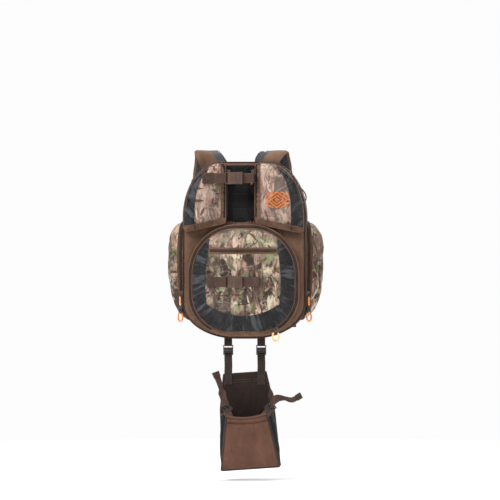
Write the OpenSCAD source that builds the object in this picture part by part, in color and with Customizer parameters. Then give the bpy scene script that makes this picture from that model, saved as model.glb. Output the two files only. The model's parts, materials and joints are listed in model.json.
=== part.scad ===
// Hunting backpack with a drop-down rifle boot.
// Frame: X to the right of somebody facing the pack, -Y out of the front pockets, +Z up.
// The origin is the centre of the lumbar pad's flat face, which touches the wearer.

/* [Main bag] */
// Half width of the main bag
bag_half_w = 155; // [150:1:158]
// Height of the bag's top edge above the lumbar pad's centre
bag_top = 376; // [372:1:380]
// Depth of the bag's underside below the lumbar pad's centre
bag_bottom = 70; // [66:1:72]
// Thickness of the bag's fabric and foam
bag_wall = 4; // [3:0.5:5]
// Depth of the main bag's rear part, from the pads to the main zip
rear_depth = 104; // [100:1:106]
// Depth of the front panel, from the main zip to the rifle channel
panel_depth = 26; // [24:1:28]

/* [Pads and straps] */
// Thickness of the back pads and the lumbar pad
pad_t = 12; // [10:1:14]
// Width of the shoulder straps
strap_w = 64; // [58:1:66]
// Thickness of the shoulder straps
strap_t = 14; // [12:1:15]
// Width of the retention straps
webbing_w = 25; // [22:1:26]
// Width of the boot and sternum webbing
narrow_w = 20; // [18:1:22]

/* [Pockets] */
// Depth of the two upper pockets
top_pocket_d = 46; // [40:1:48]
// Depth of the lower front pocket
front_pocket_d = 50; // [44:1:52]
// Width of the rifle channel between the upper pockets
channel_w = 72; // [68:1:76]
// Distance of the rifle channel's centre to the left of the pack's
channel_shift = 8; // [4:1:10]
// Depth of the side pockets out from the bag's side
side_pocket_d = 45; // [40:1:48]

/* [Rifle boot] */
// Sideways lean of the hanging boot, in degrees
boot_lean = 4; // [0:0.2:4]
// Distance between the boot's back and front panels
boot_gap = 54; // [48:1:58]
// Height of the boot's underside
boot_bottom = -403; // [-410:1:-395]

/* [Hidden] */

brown = "#6b5244";
dark = "#33302f";
camo = "#8f8172";
orange = "#e08a3c";
black = "#1d1d1f";

// gap between pieces that move past each other
gap = 0.3;
// planes along Y
pad_plane = -pad_t;
zip_plane = pad_plane - rear_depth;
panel_plane = zip_plane - panel_depth;
top_front = panel_plane - top_pocket_d;
pocket_front = panel_plane - front_pocket_d;
// height of the ledge that carries a pocket's zip, above the front panel
ledge = 24;
ledge_plane = panel_plane - ledge;
// the upper pockets' lower edge: its height at the channel, and its slope down to the side
top_pocket_low = 220;
top_pocket_slope = 12;
// distance of each upper pocket's inner wall from the pack's middle
inner_left = channel_w / 2 + channel_shift;
inner_right = channel_w / 2 - channel_shift;
// plane of the upper pockets' zips, on the walls that face the channel
top_zip_y = panel_plane - 9.5;
// side pockets
side_rear = -20;
side_front = -98;
side_low = -24;
side_high = 226;
side_zip_x = bag_half_w + 9;
// zips
coil_w = 6;
coil_t = 1.5;
// heights at which the sliders rest; the side ones are measured from the side pocket's foot
main_slider_z = 44;
top_slider_z = 352;
side_slider_rise = 26;
// centres of the bag outline's corner ellipses
shoulder_x = 60;
shoulder_z = 235;
base_x = 20;
base_z = 20;
// lower front pocket outline
pocket_half_w = 141;
arch_x = 20;
arch_z = 90;
arch_top = 218;
pocket_corner_x = 35;
pocket_corner_z = 42;
pocket_corner_r = pocket_half_w - pocket_corner_x;
// angle down from level at which the front pocket's slider rests
front_slider_angle = 62;
front_zip_inset = 6;
// retention straps
upper_strap_z = 335;
lower_strap_z = 73;
buckle_t = 9;
// thickness of the bar that webbing is looped round, and of each ply of that webbing
bar_t = 3;
loop_ply = 1.2;
// thickness of the webbing that runs through a male half's slot
slot_ply = 1.6;
// depth of a male half's webbing slot behind the buckle's middle plane
slot_depth = 4.4;
// boot
boot_strap_x = 42;
boot_strap_y = -106;
boot_top = -159;
boot_back_y = -98;
boot_back_t = 6;
boot_wall = 4;
boot_mouth = -266;
boot_half = 74;
boot_front_y = boot_back_y - boot_back_t - boot_gap;
boot_mouth_half = 50;
boot_tab_z = -bag_bottom - 18;
// sternum strap
sternum_z = 250;
chest_x = 112;
chest_y = 68;
// where the sternum strap's clips begin on the shoulder straps, and its buckle's middle plane
clip_y = chest_y + strap_t / 2 + 0.6;
sternum_y = clip_y + 8;
// zip sliders and their cord pulls
pull_w = 14;
pull_len = 34;
pin_out = 6.4;

// ---- outlines, as lists of points in X and Z ----

function arc(cx, cz, rx, rz, from, to, steps = 10) =
    [for (i = [0:steps]) let (a = from + (to - from) * i / steps) [cx + rx * cos(a), cz + rz * sin(a)]];

function bag_outline(inset = 0) = concat(
    arc(shoulder_x, shoulder_z, bag_half_w - shoulder_x - inset, bag_top - shoulder_z - inset, 0, 90),
    arc(-shoulder_x, shoulder_z, bag_half_w - shoulder_x - inset, bag_top - shoulder_z - inset, 90, 180),
    arc(-base_x, base_z, bag_half_w - base_x - inset, bag_bottom + base_z - inset, 180, 270),
    arc(base_x, base_z, bag_half_w - base_x - inset, bag_bottom + base_z - inset, 270, 360));

function pocket_outline(inset = 0) = concat(
    arc(arch_x, arch_z, pocket_half_w - arch_x - inset, arch_top - arch_z - inset, 0, 90),
    arc(-arch_x, arch_z, pocket_half_w - arch_x - inset, arch_top - arch_z - inset, 90, 180),
    arc(-pocket_corner_x, pocket_corner_z, pocket_corner_r - inset, pocket_corner_r - inset, 180, 270),
    arc(pocket_corner_x, pocket_corner_z, pocket_corner_r - inset, pocket_corner_r - inset, 270, 360));

function round_box(x0, z0, x1, z1, r, steps = 6) = concat(
    arc(x1 - r, z1 - r, r, r, 0, 90, steps), arc(x0 + r, z1 - r, r, r, 90, 180, steps),
    arc(x0 + r, z0 + r, r, r, 180, 270, steps), arc(x1 - r, z0 + r, r, r, 270, 360, steps));

// ---- general shapes ----

// extrudes a flat X-Z outline from one Y plane forward to another
module slab(rear, front) {
    translate([0, rear, 0])
        rotate([90, 0, 0])
            linear_extrude(rear - front)
                children();
}

module left_side() {
    mirror([1, 0, 0])
        children();
}

function unit(v) = v / norm(v);

function tangent(path, i) =
    unit(path[min(i + 1, len(path) - 1)] - path[max(i - 1, 0)]);

// flat band along a path; side is the direction of its width at each point
module ribbon(path, side, width, thick) {
    n = len(path);
    corners = [[-1, -1], [1, -1], [1, 1], [-1, 1]];
    points = [for (i = [0:n - 1]) let (
            t = tangent(path, i),
            s = unit(side[i] - t * (side[i] * t)),
            u = cross(t, s))
        for (c = corners) path[i] + s * c[0] * width / 2 + u * c[1] * thick / 2];
    walls = [for (i = [0:n - 2]) for (k = [0:3])
        let (a = 4 * i + k, b = 4 * i + (k + 1) % 4) each [[a, a + 4, b], [b, a + 4, b + 4]]];
    last = 4 * (n - 1);
    caps = [[0, 1, 2], [0, 2, 3], [last, last + 2, last + 1], [last, last + 3, last + 2]];
    polyhedron(points, concat(walls, caps));
}

// round cord along a path that stays near one X-Z plane
module cord(path, r, sides = 8) {
    n = len(path);
    points = [for (i = [0:n - 1]) let (
            t = tangent(path, i),
            s = unit([0, 1, 0] - t * t.y),
            u = cross(t, s))
        for (k = [0:sides - 1]) path[i] + r * (s * cos(360 * k / sides) + u * sin(360 * k / sides))];
    walls = [for (i = [0:n - 2]) for (k = [0:sides - 1])
        let (a = sides * i + k, b = sides * i + (k + 1) % sides)
        each [[a, a + sides, b], [b, a + sides, b + sides]]];
    near_cap = [for (k = [0:sides - 1]) k];
    far_cap = [for (k = [0:sides - 1]) sides * n - 1 - k];
    polyhedron(points, concat(walls, [near_cap, far_cap]));
}

// webbing doubled round a bar at x = 0, running back along -X
module looped_webbing(run, width) {
    turn = 2.4;
    for (side = [-1, 1])
        translate([-run, side > 0 ? bar_t / 2 : -bar_t / 2 - loop_ply, -width / 2])
            cube([run + turn + 2, loop_ply, width]);
    translate([2, -bar_t / 2 - loop_ply, -width / 2])
        cube([turn, bar_t + 2 * loop_ply, width]);
}

// female half of a side release buckle: its mouth is at x = 0 and opens along +X
module buckle_female(width, length) {
    shell = width + 5;
    mouth = length * 0.7;
    bar = 1.6;
    slot = 5;
    difference() {
        translate([-length, -buckle_t / 2, -shell / 2])
            cube([length, buckle_t, shell]);
        translate([-mouth, -3, -width / 2 - 1])
            cube([mouth + 1, 6, width + 2]);
        translate([-length + bar, -buckle_t, -width / 2 - 0.5])
            cube([slot, 2 * buckle_t, width + 1]);
        for (side = [-1, 1]) {
            translate([-length - 1, side > 0 ? bar_t / 2 : -buckle_t, -width / 2 - 0.5])
                cube([bar + 2, buckle_t - bar_t / 2, width + 1]);
            translate([-mouth + 1, -2.6, side > 0 ? width / 2 : -width / 2 - 6])
                cube([mouth * 0.45, 5.2, 6]);
        }
    }
}

// male half: its prongs reach back along -X, and webbing runs through its slot along X
module buckle_male(width, length, reach) {
    shell = width + 5;
    slot_h = 2.4;
    difference() {
        translate([gap, -buckle_t / 2, -shell / 2])
            cube([length, buckle_t + 3, shell]);
        translate([-1, slot_depth - slot_h / 2, -width / 2 - 0.5])
            cube([length + 3, slot_h, width + 1]);
    }
    translate([-reach, -2, -2.5])
        cube([reach + 1, 3.4, 5]);
    for (side = [-1, 1])
        translate([-reach, -2, side * (width / 2 - 2.5) - 1.8])
            cube([reach + 1, 3.4, 3.6]);
}

// webbing that a male half slides along, from x = 0 out along +X
module slot_webbing(run, width) {
    translate([gap, slot_depth - slot_ply / 2, -width / 2])
        cube([run, slot_ply, width]);
}

// slider on a surface that faces -Y; turn leans its body from the Z axis, and its pin stays level
module zip_slider(turn = 0) {
    body_w = 9;
    body_h = 12;
    body_t = 3.6;
    ear_w = 1.2;
    ear_gap = 2.4;
    rotate([0, turn, 0])
        translate([-body_w / 2, -body_t, -body_h / 2])
            cube([body_w, body_t, body_h]);
    for (side = [-1, 1])
        translate([side * (ear_gap + ear_w / 2) - ear_w / 2, -pin_out - 1.6, 0])
            cube([ear_w, pin_out + 1.6 - body_t + 0.2, 4]);
    translate([-ear_gap - 0.2, -pin_out, 2])
        rotate([0, 90, 0])
            cylinder(r = 0.9, h = 2 * ear_gap + 0.4, $fn = 24);
}

// cord pull that hangs on a slider's pin
module zip_pull() {
    eye_w = 4;
    cord_t = 2.6;
    translate([0, -pin_out, 2])
        difference() {
            union() {
                rotate([0, 90, 0])
                    cylinder(r = 2, h = eye_w, center = true, $fn = 32);
                translate([-eye_w / 2, -1, -6])
                    cube([eye_w, 2, 5]);
                translate([0, cord_t / 2, 0])
                    slab(0, -cord_t)
                        difference() {
                            polygon(round_box(-pull_w / 2, -pull_len, pull_w / 2, -5, 7));
                            polygon(round_box(-pull_w / 2 + 3, -pull_len + 3, pull_w / 2 - 3, -8, 4));
                        }
            }
            rotate([0, 90, 0])
                cylinder(r = 1.1, h = eye_w + 2, center = true, $fn = 32);
        }
}

// ---- main bag ----

module back_shell() {
    color(brown)
        difference() {
            slab(pad_plane, zip_plane)
                polygon(bag_outline());
            slab(pad_plane - bag_wall, zip_plane - 1)
                polygon(bag_outline(bag_wall));
        }
}

module frame_sheet() {
    sheet_t = 2;
    color(dark)
        slab(pad_plane - bag_wall, pad_plane - bag_wall - sheet_t)
            polygon(round_box(-110, -30, 110, 330, 30));
}

module lumbar_pad() {
    color(dark)
        slab(0, pad_plane)
            polygon(round_box(-90, -45, 90, 45, 25));
}

module back_pads() {
    color(dark)
        for (side = [0, 1])
            mirror([side, 0, 0])
                slab(0, pad_plane)
                    polygon(round_box(16, 70, 100, 300, 25));
}

module haul_loop() {
    reach = 26;
    half = 22;
    loop_z = 350;
    points = [for (a = [0:15:180]) [half * cos(a), pad_plane + 1.2 + reach * pow(sin(a), 0.8), loop_z]];
    ends = [[half - 4, pad_plane + 1.2, loop_z], [-half + 4, pad_plane + 1.2, loop_z]];
    up = [0, 0, 1];
    color(brown) {
        ribbon(points, [for (p = points) up], webbing_w - 3, 2);
        for (p = ends)
            translate(p + [-9, -1.2, -12])
                cube([18, 2, 24]);
    }
}

module main_zip() {
    color(black)
        slab(zip_plane + 5, zip_plane)
            intersection() {
                difference() {
                    polygon(bag_outline(-coil_t));
                    polygon(bag_outline());
                }
                polygon([[-200, 10], [200, 10], [200, 400], [-200, 400]]);
            }
}

// ---- harness ----

strap_low = [
    [chest_x, chest_y, 278], [chest_x, chest_y, 200], [108, 62, 150], [104, 50, 100], [106, 36, 56]];
strap_path_right = concat([
    [62, -4.2, 318], [62, -4.2, 346], [52, 3, 378], [68, 12, 397], [76, 42, 402], [80, 58, 372],
    [84, 65, 340]], strap_low);
strap_path_left = concat([
    [66, -4.2, 318], [70, -4.2, 346], [88, 3, 378], [102, 12, 397], [104, 42, 402], [106, 58, 372],
    [110, 65, 340]], strap_low);
strap_side = concat([
    [1, 0, 0], [1, 0, 0], [1, 0, 0.1], [1, -0.3, 0.1], [1, -0.5, 0], [1, -0.2, 0]],
    [for (i = [1:6]) [1, 0, 0]]);

module shoulder_strap(path) {
    color(brown)
        ribbon(path, strap_side, strap_w, strap_t);
}

module shoulder_strap_left() {
    left_side()
        shoulder_strap(strap_path_left);
}

module shoulder_strap_right() {
    shoulder_strap(strap_path_right);
}

// lower harness webbing, from the strap's end to the bag's lower corner
tail_path = [[106, 30, 32], [108, 20, 8], [110, 4, -12], [112, -9, -23], [112, -11.1, -38]];

module strap_webbing() {
    color(black)
        for (side = [0, 1])
            mirror([side, 0, 0])
                ribbon(tail_path, [for (p = tail_path) [1, 0, 0.2]], webbing_w, 1.8);
}

module strap_ladder_locks() {
    color(black)
        for (side = [0, 1])
            mirror([side, 0, 0])
                translate([106, 34, 46])
                    rotate([-18, 0, 0])
                        difference() {
                            translate([-17, -3, -12])
                                cube([34, 6, 18]);
                            for (z = [-9, -1])
                                translate([-13, -4, z])
                                    cube([26, 8, 4]);
                        }
}

module sternum_strap() {
    clip_h = 26;
    color(black) {
        for (side = [-1, 1])
            translate([side * chest_x - 14, clip_y, sternum_z - clip_h / 2])
                cube([28, 3, clip_h]);
        translate([-22, sternum_y, sternum_z])
            looped_webbing(66, narrow_w);
        translate([-chest_x + 10, clip_y + 3, sternum_z - narrow_w / 2])
            cube([17, 6.5, narrow_w]);
        translate([0, sternum_y, sternum_z])
            mirror([0, 1, 0])
                slot_webbing(chest_x - 6, narrow_w);
    }
}

module sternum_buckle_female() {
    color(black)
        translate([0, sternum_y, sternum_z])
            mirror([0, 1, 0])
                buckle_female(narrow_w, 22);
}

module sternum_buckle_male() {
    color(black)
        translate([0, sternum_y, sternum_z])
            mirror([0, 1, 0])
                buckle_male(narrow_w, 14, 14);
}

// ---- side pockets ----

// how far a side pocket stands out from the bag's side at heights from its foot to its top
side_bulge = [
    [6, -22], [19, -3], [28, 16], [36, 45], [42, 80],
    [45, 120], [44, 160], [39, 191], [30, 216], [16, 226]];

module side_pocket_outline(inset) {
    inner = bag_half_w - 24;
    polygon(concat([[inner, side_high], [inner, side_low]],
        [for (p = side_bulge) [bag_half_w + p[0] * side_pocket_d / 45 - inset, p[1]]]));
}

module side_pocket() {
    color(camo)
        difference() {
            hull() {
                slab(side_rear, side_front)
                    side_pocket_outline(6);
                slab(side_rear - 14, side_front + 14)
                    side_pocket_outline(0);
            }
            slab(side_rear + 1, side_front - 1)
                polygon(bag_outline());
        }
}

module side_pocket_left() {
    left_side()
        side_pocket();
}

module side_pocket_right() {
    side_pocket();
}

module side_zip() {
    color(black)
        slab(side_front, side_front - coil_t)
            translate([side_zip_x, 0])
                polygon(round_box(-coil_w / 2, side_low + 24, coil_w / 2, side_high - 16, 2));
}

module side_zip_left() {
    left_side()
        side_zip();
}

module side_zip_right() {
    side_zip();
}

// ---- front panel ----

module front_shell() {
    color(dark)
        difference() {
            slab(zip_plane - gap, panel_plane)
                polygon(bag_outline());
            slab(zip_plane + 1, panel_plane + bag_wall)
                polygon(bag_outline(bag_wall));
        }
}

module channel_pad() {
    pad_h = 2;
    margin = 14;
    color("#3b2a24")
        slab(panel_plane, panel_plane - pad_h)
            polygon(round_box(margin - inner_left, 222, inner_right - margin, bag_top - 8, 8));
}

// inner is the distance of the pocket's inner wall from the pack's middle
module top_pocket_outline(inner, inset) {
    r = 12;
    far = 300;
    a = top_pocket_slope;
    x = inner + inset;
    low = top_pocket_low + inset * (1 / cos(a) - tan(a));
    corner = arc(x + r, low + r * (1 / cos(a) - tan(a)), r, r, 180, 270 - a, 5);
    intersection() {
        polygon(bag_outline(2 + inset));
        polygon(round_box(x, 0, far, bag_top - 2 - inset, 16));
        polygon(concat(corner, [[far, low - (far - x) * tan(a)], [far, 2 * far], [x, 2 * far]]));
    }
}

module top_pocket(inner) {
    color(camo) {
        slab(panel_plane, ledge_plane)
            top_pocket_outline(inner, 0);
        hull() {
            slab(ledge_plane, ledge_plane - 12)
                top_pocket_outline(inner, 17);
            slab(ledge_plane, top_front)
                top_pocket_outline(inner, 32);
        }
    }
}

module top_pocket_left() {
    left_side()
        top_pocket(inner_left);
}

module top_pocket_right() {
    top_pocket(inner_right);
}

module top_zip(inner) {
    color(black)
        translate([inner - coil_t, top_zip_y - coil_w / 2, 236])
            cube([coil_t, coil_w, 124]);
}

module top_zip_left() {
    left_side()
        top_zip(inner_left);
}

module top_zip_right() {
    top_zip(inner_right);
}

module front_pocket() {
    color(camo) {
        slab(panel_plane, ledge_plane)
            polygon(pocket_outline());
        hull() {
            slab(ledge_plane, ledge_plane - 12)
                polygon(pocket_outline(12));
            slab(ledge_plane, pocket_front)
                polygon(pocket_outline(40));
        }
    }
}

module front_zip() {
    color(black)
        slab(ledge_plane, ledge_plane - coil_t)
            difference() {
                polygon(pocket_outline(front_zip_inset - coil_w / 2));
                polygon(pocket_outline(front_zip_inset + coil_w / 2));
                polygon([[-80, -100], [80, -100], [80, 0], [-80, 0]]);
            }
}

// shock cord laced along each upper pocket's outer edge; the right one has a slack loop
cord_r = 1.8;
cord_y = ledge_plane - cord_r - 0.1;
slack_route = [
    [92, 356], [104, 349], [116, 339], [127, 327], [138, 316], [149, 306], [157, 294],
    [158, 281], [150, 272], [141, 270], [138, 262], [141, 250], [143, 238]];
snug_route = [
    [92, 356], [104, 349], [116, 339], [126, 327], [134, 313], [139, 298], [142, 284],
    [144, 270], [145, 254], [145, 238]];

module shock_cord(route) {
    color(black)
        cord([for (p = route) [p[0], cord_y, p[1]]], cord_r);
}

module shock_cord_left() {
    left_side()
        shock_cord(snug_route);
}

module shock_cord_right() {
    shock_cord(slack_route);
}

// one keeper on the cord at a point of its route
module keeper(p, turn) {
    translate([p[0], ledge_plane, p[1]])
        rotate([0, turn, 0])
            translate([-5, -5, -4])
                cube([10, 5, 8]);
}

module cord_keepers() {
    color(brown) {
        keeper(slack_route[0], 35);
        keeper(slack_route[3], 45);
        keeper(slack_route[10], 80);
        keeper(slack_route[12], 80);
        left_side() {
            keeper(snug_route[0], 35);
            keeper(snug_route[3], 48);
            keeper(snug_route[6], 75);
            keeper(snug_route[9], 88);
        }
    }
}

// embroidered patch on the upper right pocket
module patch() {
    patch_w = 52;
    patch_h = 40;
    color(orange)
        translate([86, top_front, 280])
            slab(0, -1.2)
                polygon([[-patch_w / 2, 0], [0, patch_h / 2], [patch_w / 2, 0], [0, -patch_h / 2]]);
}

// ---- retention straps ----

// middle planes of the two buckles, clear of the pockets behind them
upper_mid = top_front - 1 - buckle_t / 2;
lower_mid = pocket_front - 4 - buckle_t / 2;
mouth_x = -19;
buckle_len = 26;

// stitched anchor, doubled webbing to the female half, and the run that the male half slides along
module retention_strap(mid, z, surface, run, anchor_w) {
    color(brown) {
        translate([mouth_x - buckle_len, mid, z])
            looped_webbing(30, webbing_w);
        translate([mouth_x - buckle_len - 28 - anchor_w, mid - bar_t / 2 - loop_ply, z - webbing_w / 2 - 2])
            cube([anchor_w, surface - mid + bar_t / 2 + loop_ply, webbing_w + 4]);
        translate([mouth_x, mid, z])
            slot_webbing(run, webbing_w);
    }
}

module upper_strap() {
    end_ply = 2.4;
    run = inner_right - mouth_x - end_ply;
    end_front = upper_mid + slot_depth - slot_ply / 2;
    retention_strap(upper_mid, upper_strap_z, top_front, run, 30);
    color(brown)
        translate([inner_right - end_ply, end_front, upper_strap_z - webbing_w / 2])
            cube([end_ply, ledge_plane + 8 - end_front, webbing_w]);
}

module lower_strap() {
    run = 42;
    end_front = lower_mid + slot_depth - slot_ply / 2;
    retention_strap(lower_mid, lower_strap_z, pocket_front, run, 16);
    color(brown)
        translate([mouth_x + run, end_front, lower_strap_z - webbing_w / 2])
            cube([18, pocket_front - end_front, webbing_w]);
}

module buckle_half(mid, z, male) {
    color(black)
        translate([mouth_x, mid, z])
            if (male)
                buckle_male(webbing_w, 17, 17);
            else
                buckle_female(webbing_w, buckle_len);
}

module upper_buckle_female() {
    buckle_half(upper_mid, upper_strap_z, false);
}

module upper_buckle_male() {
    buckle_half(upper_mid, upper_strap_z, true);
}

module lower_buckle_female() {
    buckle_half(lower_mid, lower_strap_z, false);
}

module lower_buckle_male() {
    buckle_half(lower_mid, lower_strap_z, true);
}

// ---- rifle boot ----

boot_female_len = 15;
boot_male_len = 10;
boot_mouth_z = boot_tab_z - boot_female_len;

// places a strap fitting that points down, one on each boot strap
module on_boot_straps(z) {
    for (side = [-1, 1])
        translate([side * boot_strap_x, boot_strap_y, z])
            rotate([0, 90, 0])
                children();
}

module boot_tabs() {
    color(brown)
        on_boot_straps(boot_tab_z)
            looped_webbing(17, narrow_w);
}

module boot_buckle_females() {
    color(black)
        on_boot_straps(boot_mouth_z)
            buckle_female(narrow_w, boot_female_len);
}

module boot_buckle_males() {
    color(black)
        on_boot_straps(boot_mouth_z)
            difference() {
                buckle_male(narrow_w, boot_male_len, 9);
                translate([boot_male_len - 5, -10, -narrow_w / 2 - 0.5])
                    cube([3.5, 20, narrow_w + 1]);
            }
}

module boot_webbing() {
    run = boot_mouth_z - boot_top - boot_male_len - gap;
    color(brown)
        for (side = [-1, 1])
            translate([side * boot_strap_x, boot_strap_y, 0]) {
                translate([-narrow_w / 2, 0.2, boot_top - 30])
                    cube([narrow_w, 1.8, run + 30]);
                translate([-narrow_w / 2, -1.2, boot_top + run - 1])
                    cube([narrow_w, 3.2, 1]);
            }
}

// leans a boot piece sideways about the top of the back panel
module leaning() {
    translate([0, 0, boot_top])
        rotate([0, -boot_lean, 0])
            translate([0, 0, -boot_top])
                children();
}

module boot_back() {
    shoulder_half = 68;
    shoulder = -245;
    low = boot_bottom + boot_wall;
    color(brown)
        leaning()
            slab(boot_back_y, boot_back_y - boot_back_t)
                polygon([
                    [-54, boot_top], [54, boot_top], [shoulder_half, shoulder], [boot_half, low],
                    [-boot_half, low], [-shoulder_half, shoulder]]);
}

module boot_front() {
    low = boot_bottom + boot_wall;
    color(brown)
        leaning()
            slab(boot_front_y, boot_front_y - boot_wall)
                polygon([
                    [-boot_mouth_half, boot_mouth], [boot_mouth_half, boot_mouth],
                    [boot_half, low], [-boot_half, low]]);
}

// edge of a side wall: half is the wall's outer distance from the middle at the boot's mouth
module gusset_edge(half) {
    wall = 3;
    low = boot_bottom + boot_wall;
    polygon([[half - wall, boot_mouth], [half, boot_mouth], [boot_half, low], [boot_half - wall, low]]);
}

module boot_gussets() {
    rear = boot_back_y - boot_back_t;
    color(black)
        leaning() {
            for (side = [0, 1])
                mirror([side, 0, 0])
                    hull() {
                        slab(rear, rear - 1)
                            gusset_edge(69);
                        slab(boot_front_y + 1, boot_front_y)
                            gusset_edge(boot_mouth_half);
                    }
            translate([-boot_half, boot_front_y - boot_wall, boot_bottom])
                cube([2 * boot_half, boot_back_y - boot_front_y + boot_wall, boot_wall]);
        }
}

lock_places = [[-43, -246, 40], [68, -245, -35]];

module boot_ladder_locks() {
    color(black)
        for (p = lock_places)
            translate([p[0], boot_front_y - boot_wall - 2.5, p[1]])
                rotate([0, p[2], 0])
                    difference() {
                        translate([-13, -2.5, -10])
                            cube([26, 5, 20]);
                        for (z = [-7, 1])
                            translate([-10.5, -4, z])
                                cube([21, 8, 4]);
                    }
}

// cinch webbing from the back panel's edges to the ladder locks, and its two free tails
cinch_left = [[-56, -101, -206], [-60, -124, -216], [-58, -146, -228], [-45, -161, -238]];
cinch_right = [[61, -101, -206], [68, -124, -216], [72, -146, -228], [70, -161, -236]];
tail_left = [
    [-46, -168.4, -240], [-49, -175, -224], [-56, -178, -200], [-62, -176, -178], [-71, -174, -155]];
tail_right = [
    [70, -168.4, -239], [84, -176, -222], [104, -178, -221], [124, -175, -225], [147, -172, -213]];

module boot_cinch() {
    ply = 1.8;
    color(brown) {
        ribbon(cinch_left, [for (p = cinch_left) [-0.3, 0.2, 1]], narrow_w, ply);
        ribbon(cinch_right, [for (p = cinch_right) [0.3, 0.2, 1]], narrow_w, ply);
        ribbon(tail_left, [for (p = tail_left) [1, 0, 0.4]], narrow_w, ply);
        ribbon(tail_right, [for (p = tail_right) [0, 0.3, 1]], narrow_w, ply);
    }
}

// ---- zip sliders and pulls ----

module at_side_slider() {
    translate([side_zip_x, side_front - coil_t - gap, side_low + side_slider_rise])
        children();
}

module at_main_slider() {
    translate([bag_half_w + coil_t + gap, zip_plane - 2, main_slider_z])
        rotate([0, 0, 90])
            children();
}

module at_top_slider(inner) {
    translate([inner - coil_t - gap, top_zip_y, top_slider_z])
        rotate([0, 0, -90])
            children();
}

module at_front_slider() {
    radius = pocket_corner_r - front_zip_inset;
    a = front_slider_angle;
    translate([pocket_corner_x, ledge_plane - coil_t - gap, pocket_corner_z])
        translate([radius * cos(a), 0, -radius * sin(a)])
            children();
}

module side_slider_left() {
    color(black)
        left_side()
            at_side_slider()
                zip_slider();
}

module side_slider_right() {
    color(black)
        at_side_slider()
            zip_slider();
}

module side_pull_left() {
    color(orange)
        left_side()
            at_side_slider()
                zip_pull();
}

module side_pull_right() {
    color(orange)
        at_side_slider()
            zip_pull();
}

module main_slider_left() {
    color(black)
        left_side()
            at_main_slider()
                zip_slider();
}

module main_slider_right() {
    color(black)
        at_main_slider()
            zip_slider();
}

module main_pull_left() {
    color(orange)
        left_side()
            at_main_slider()
                zip_pull();
}

module main_pull_right() {
    color(orange)
        at_main_slider()
            zip_pull();
}

module top_slider_left() {
    color(black)
        left_side()
            at_top_slider(inner_left)
                zip_slider();
}

module top_slider_right() {
    color(black)
        at_top_slider(inner_right)
            zip_slider();
}

module top_pull_left() {
    color(orange)
        left_side()
            at_top_slider(inner_left)
                zip_pull();
}

module top_pull_right() {
    color(orange)
        at_top_slider(inner_right)
            zip_pull();
}

module front_slider() {
    color(black)
        at_front_slider()
            zip_slider(front_slider_angle);
}

module front_pull() {
    color(orange)
        at_front_slider()
            zip_pull();
}

back_shell();
frame_sheet();
lumbar_pad();
back_pads();
haul_loop();
main_zip();
shoulder_strap_left();
shoulder_strap_right();
strap_webbing();
strap_ladder_locks();
side_pocket_left();
side_pocket_right();
side_zip_left();
side_zip_right();
shock_cord_left();
shock_cord_right();
cord_keepers();
front_shell();
channel_pad();
top_pocket_left();
top_pocket_right();
top_zip_left();
top_zip_right();
front_pocket();
front_zip();
patch();
upper_strap();
upper_buckle_female();
upper_buckle_male();
lower_strap();
lower_buckle_female();
lower_buckle_male();
boot_tabs();
boot_buckle_females();
boot_buckle_males();
boot_webbing();
boot_back();
boot_front();
boot_gussets();
boot_ladder_locks();
boot_cinch();
sternum_strap();
sternum_buckle_female();
sternum_buckle_male();
side_slider_left();
side_slider_right();
side_pull_left();
side_pull_right();
main_slider_left();
main_slider_right();
main_pull_left();
main_pull_right();
top_slider_left();
top_slider_right();
top_pull_left();
top_pull_right();
front_slider();
front_pull();
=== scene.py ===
import json
import math
import bmesh
import bpy
import numpy as np
from mathutils import Matrix, Vector, noise
from mathutils.bvhtree import BVHTree
from mathutils.geometry import delaunay_2d_cdt


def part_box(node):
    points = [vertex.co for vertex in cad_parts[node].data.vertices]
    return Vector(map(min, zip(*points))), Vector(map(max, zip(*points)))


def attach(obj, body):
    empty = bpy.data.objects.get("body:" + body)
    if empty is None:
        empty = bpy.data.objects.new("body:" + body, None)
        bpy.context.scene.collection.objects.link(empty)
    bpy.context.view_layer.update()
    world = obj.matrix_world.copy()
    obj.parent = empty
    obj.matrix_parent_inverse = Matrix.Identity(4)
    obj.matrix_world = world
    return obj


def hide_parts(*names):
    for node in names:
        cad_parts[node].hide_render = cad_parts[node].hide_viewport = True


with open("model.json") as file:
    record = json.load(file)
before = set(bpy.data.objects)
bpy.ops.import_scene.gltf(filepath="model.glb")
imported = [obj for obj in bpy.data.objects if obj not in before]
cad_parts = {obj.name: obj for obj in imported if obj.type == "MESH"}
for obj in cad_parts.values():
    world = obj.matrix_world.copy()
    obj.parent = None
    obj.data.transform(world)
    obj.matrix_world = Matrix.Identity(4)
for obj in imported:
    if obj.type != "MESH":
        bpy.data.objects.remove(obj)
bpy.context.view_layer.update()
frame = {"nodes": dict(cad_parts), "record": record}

# Lengths below are in millimetres until a mesh is made; Blender's own are in metres.
MM = 0.001
scene = bpy.context.scene
BODIES = frame["record"]["behaviour"]["bodies"]
BODY_OF = {node: body for body, nodes in BODIES.items() for node in nodes}


def cad(node):
    """Lowest and highest corner of a CAD node, in millimetres."""
    lo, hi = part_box(node)
    return np.array(lo) / MM, np.array(hi) / MM


# ---------------------------------------------------------------- camera and light

def aim(thing, eye, target):
    thing.location = eye
    thing.rotation_euler = (Vector(target) - Vector(eye)).to_track_quat("-Z", "Y").to_euler()


TARGET = Vector((0.0116, -0.07, 0.1535))
TURN = math.radians(2.9)
DISTANCE = 12.0
camera = bpy.data.objects.new("camera", bpy.data.cameras.new("camera"))
camera.data.lens = 36 * DISTANCE / 1.275
scene.collection.objects.link(camera)
aim(camera, TARGET + DISTANCE * Vector((math.sin(TURN), -math.cos(TURN), 0.0)), TARGET)
scene.camera = camera
scene.view_settings.view_transform = "Standard"

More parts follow.
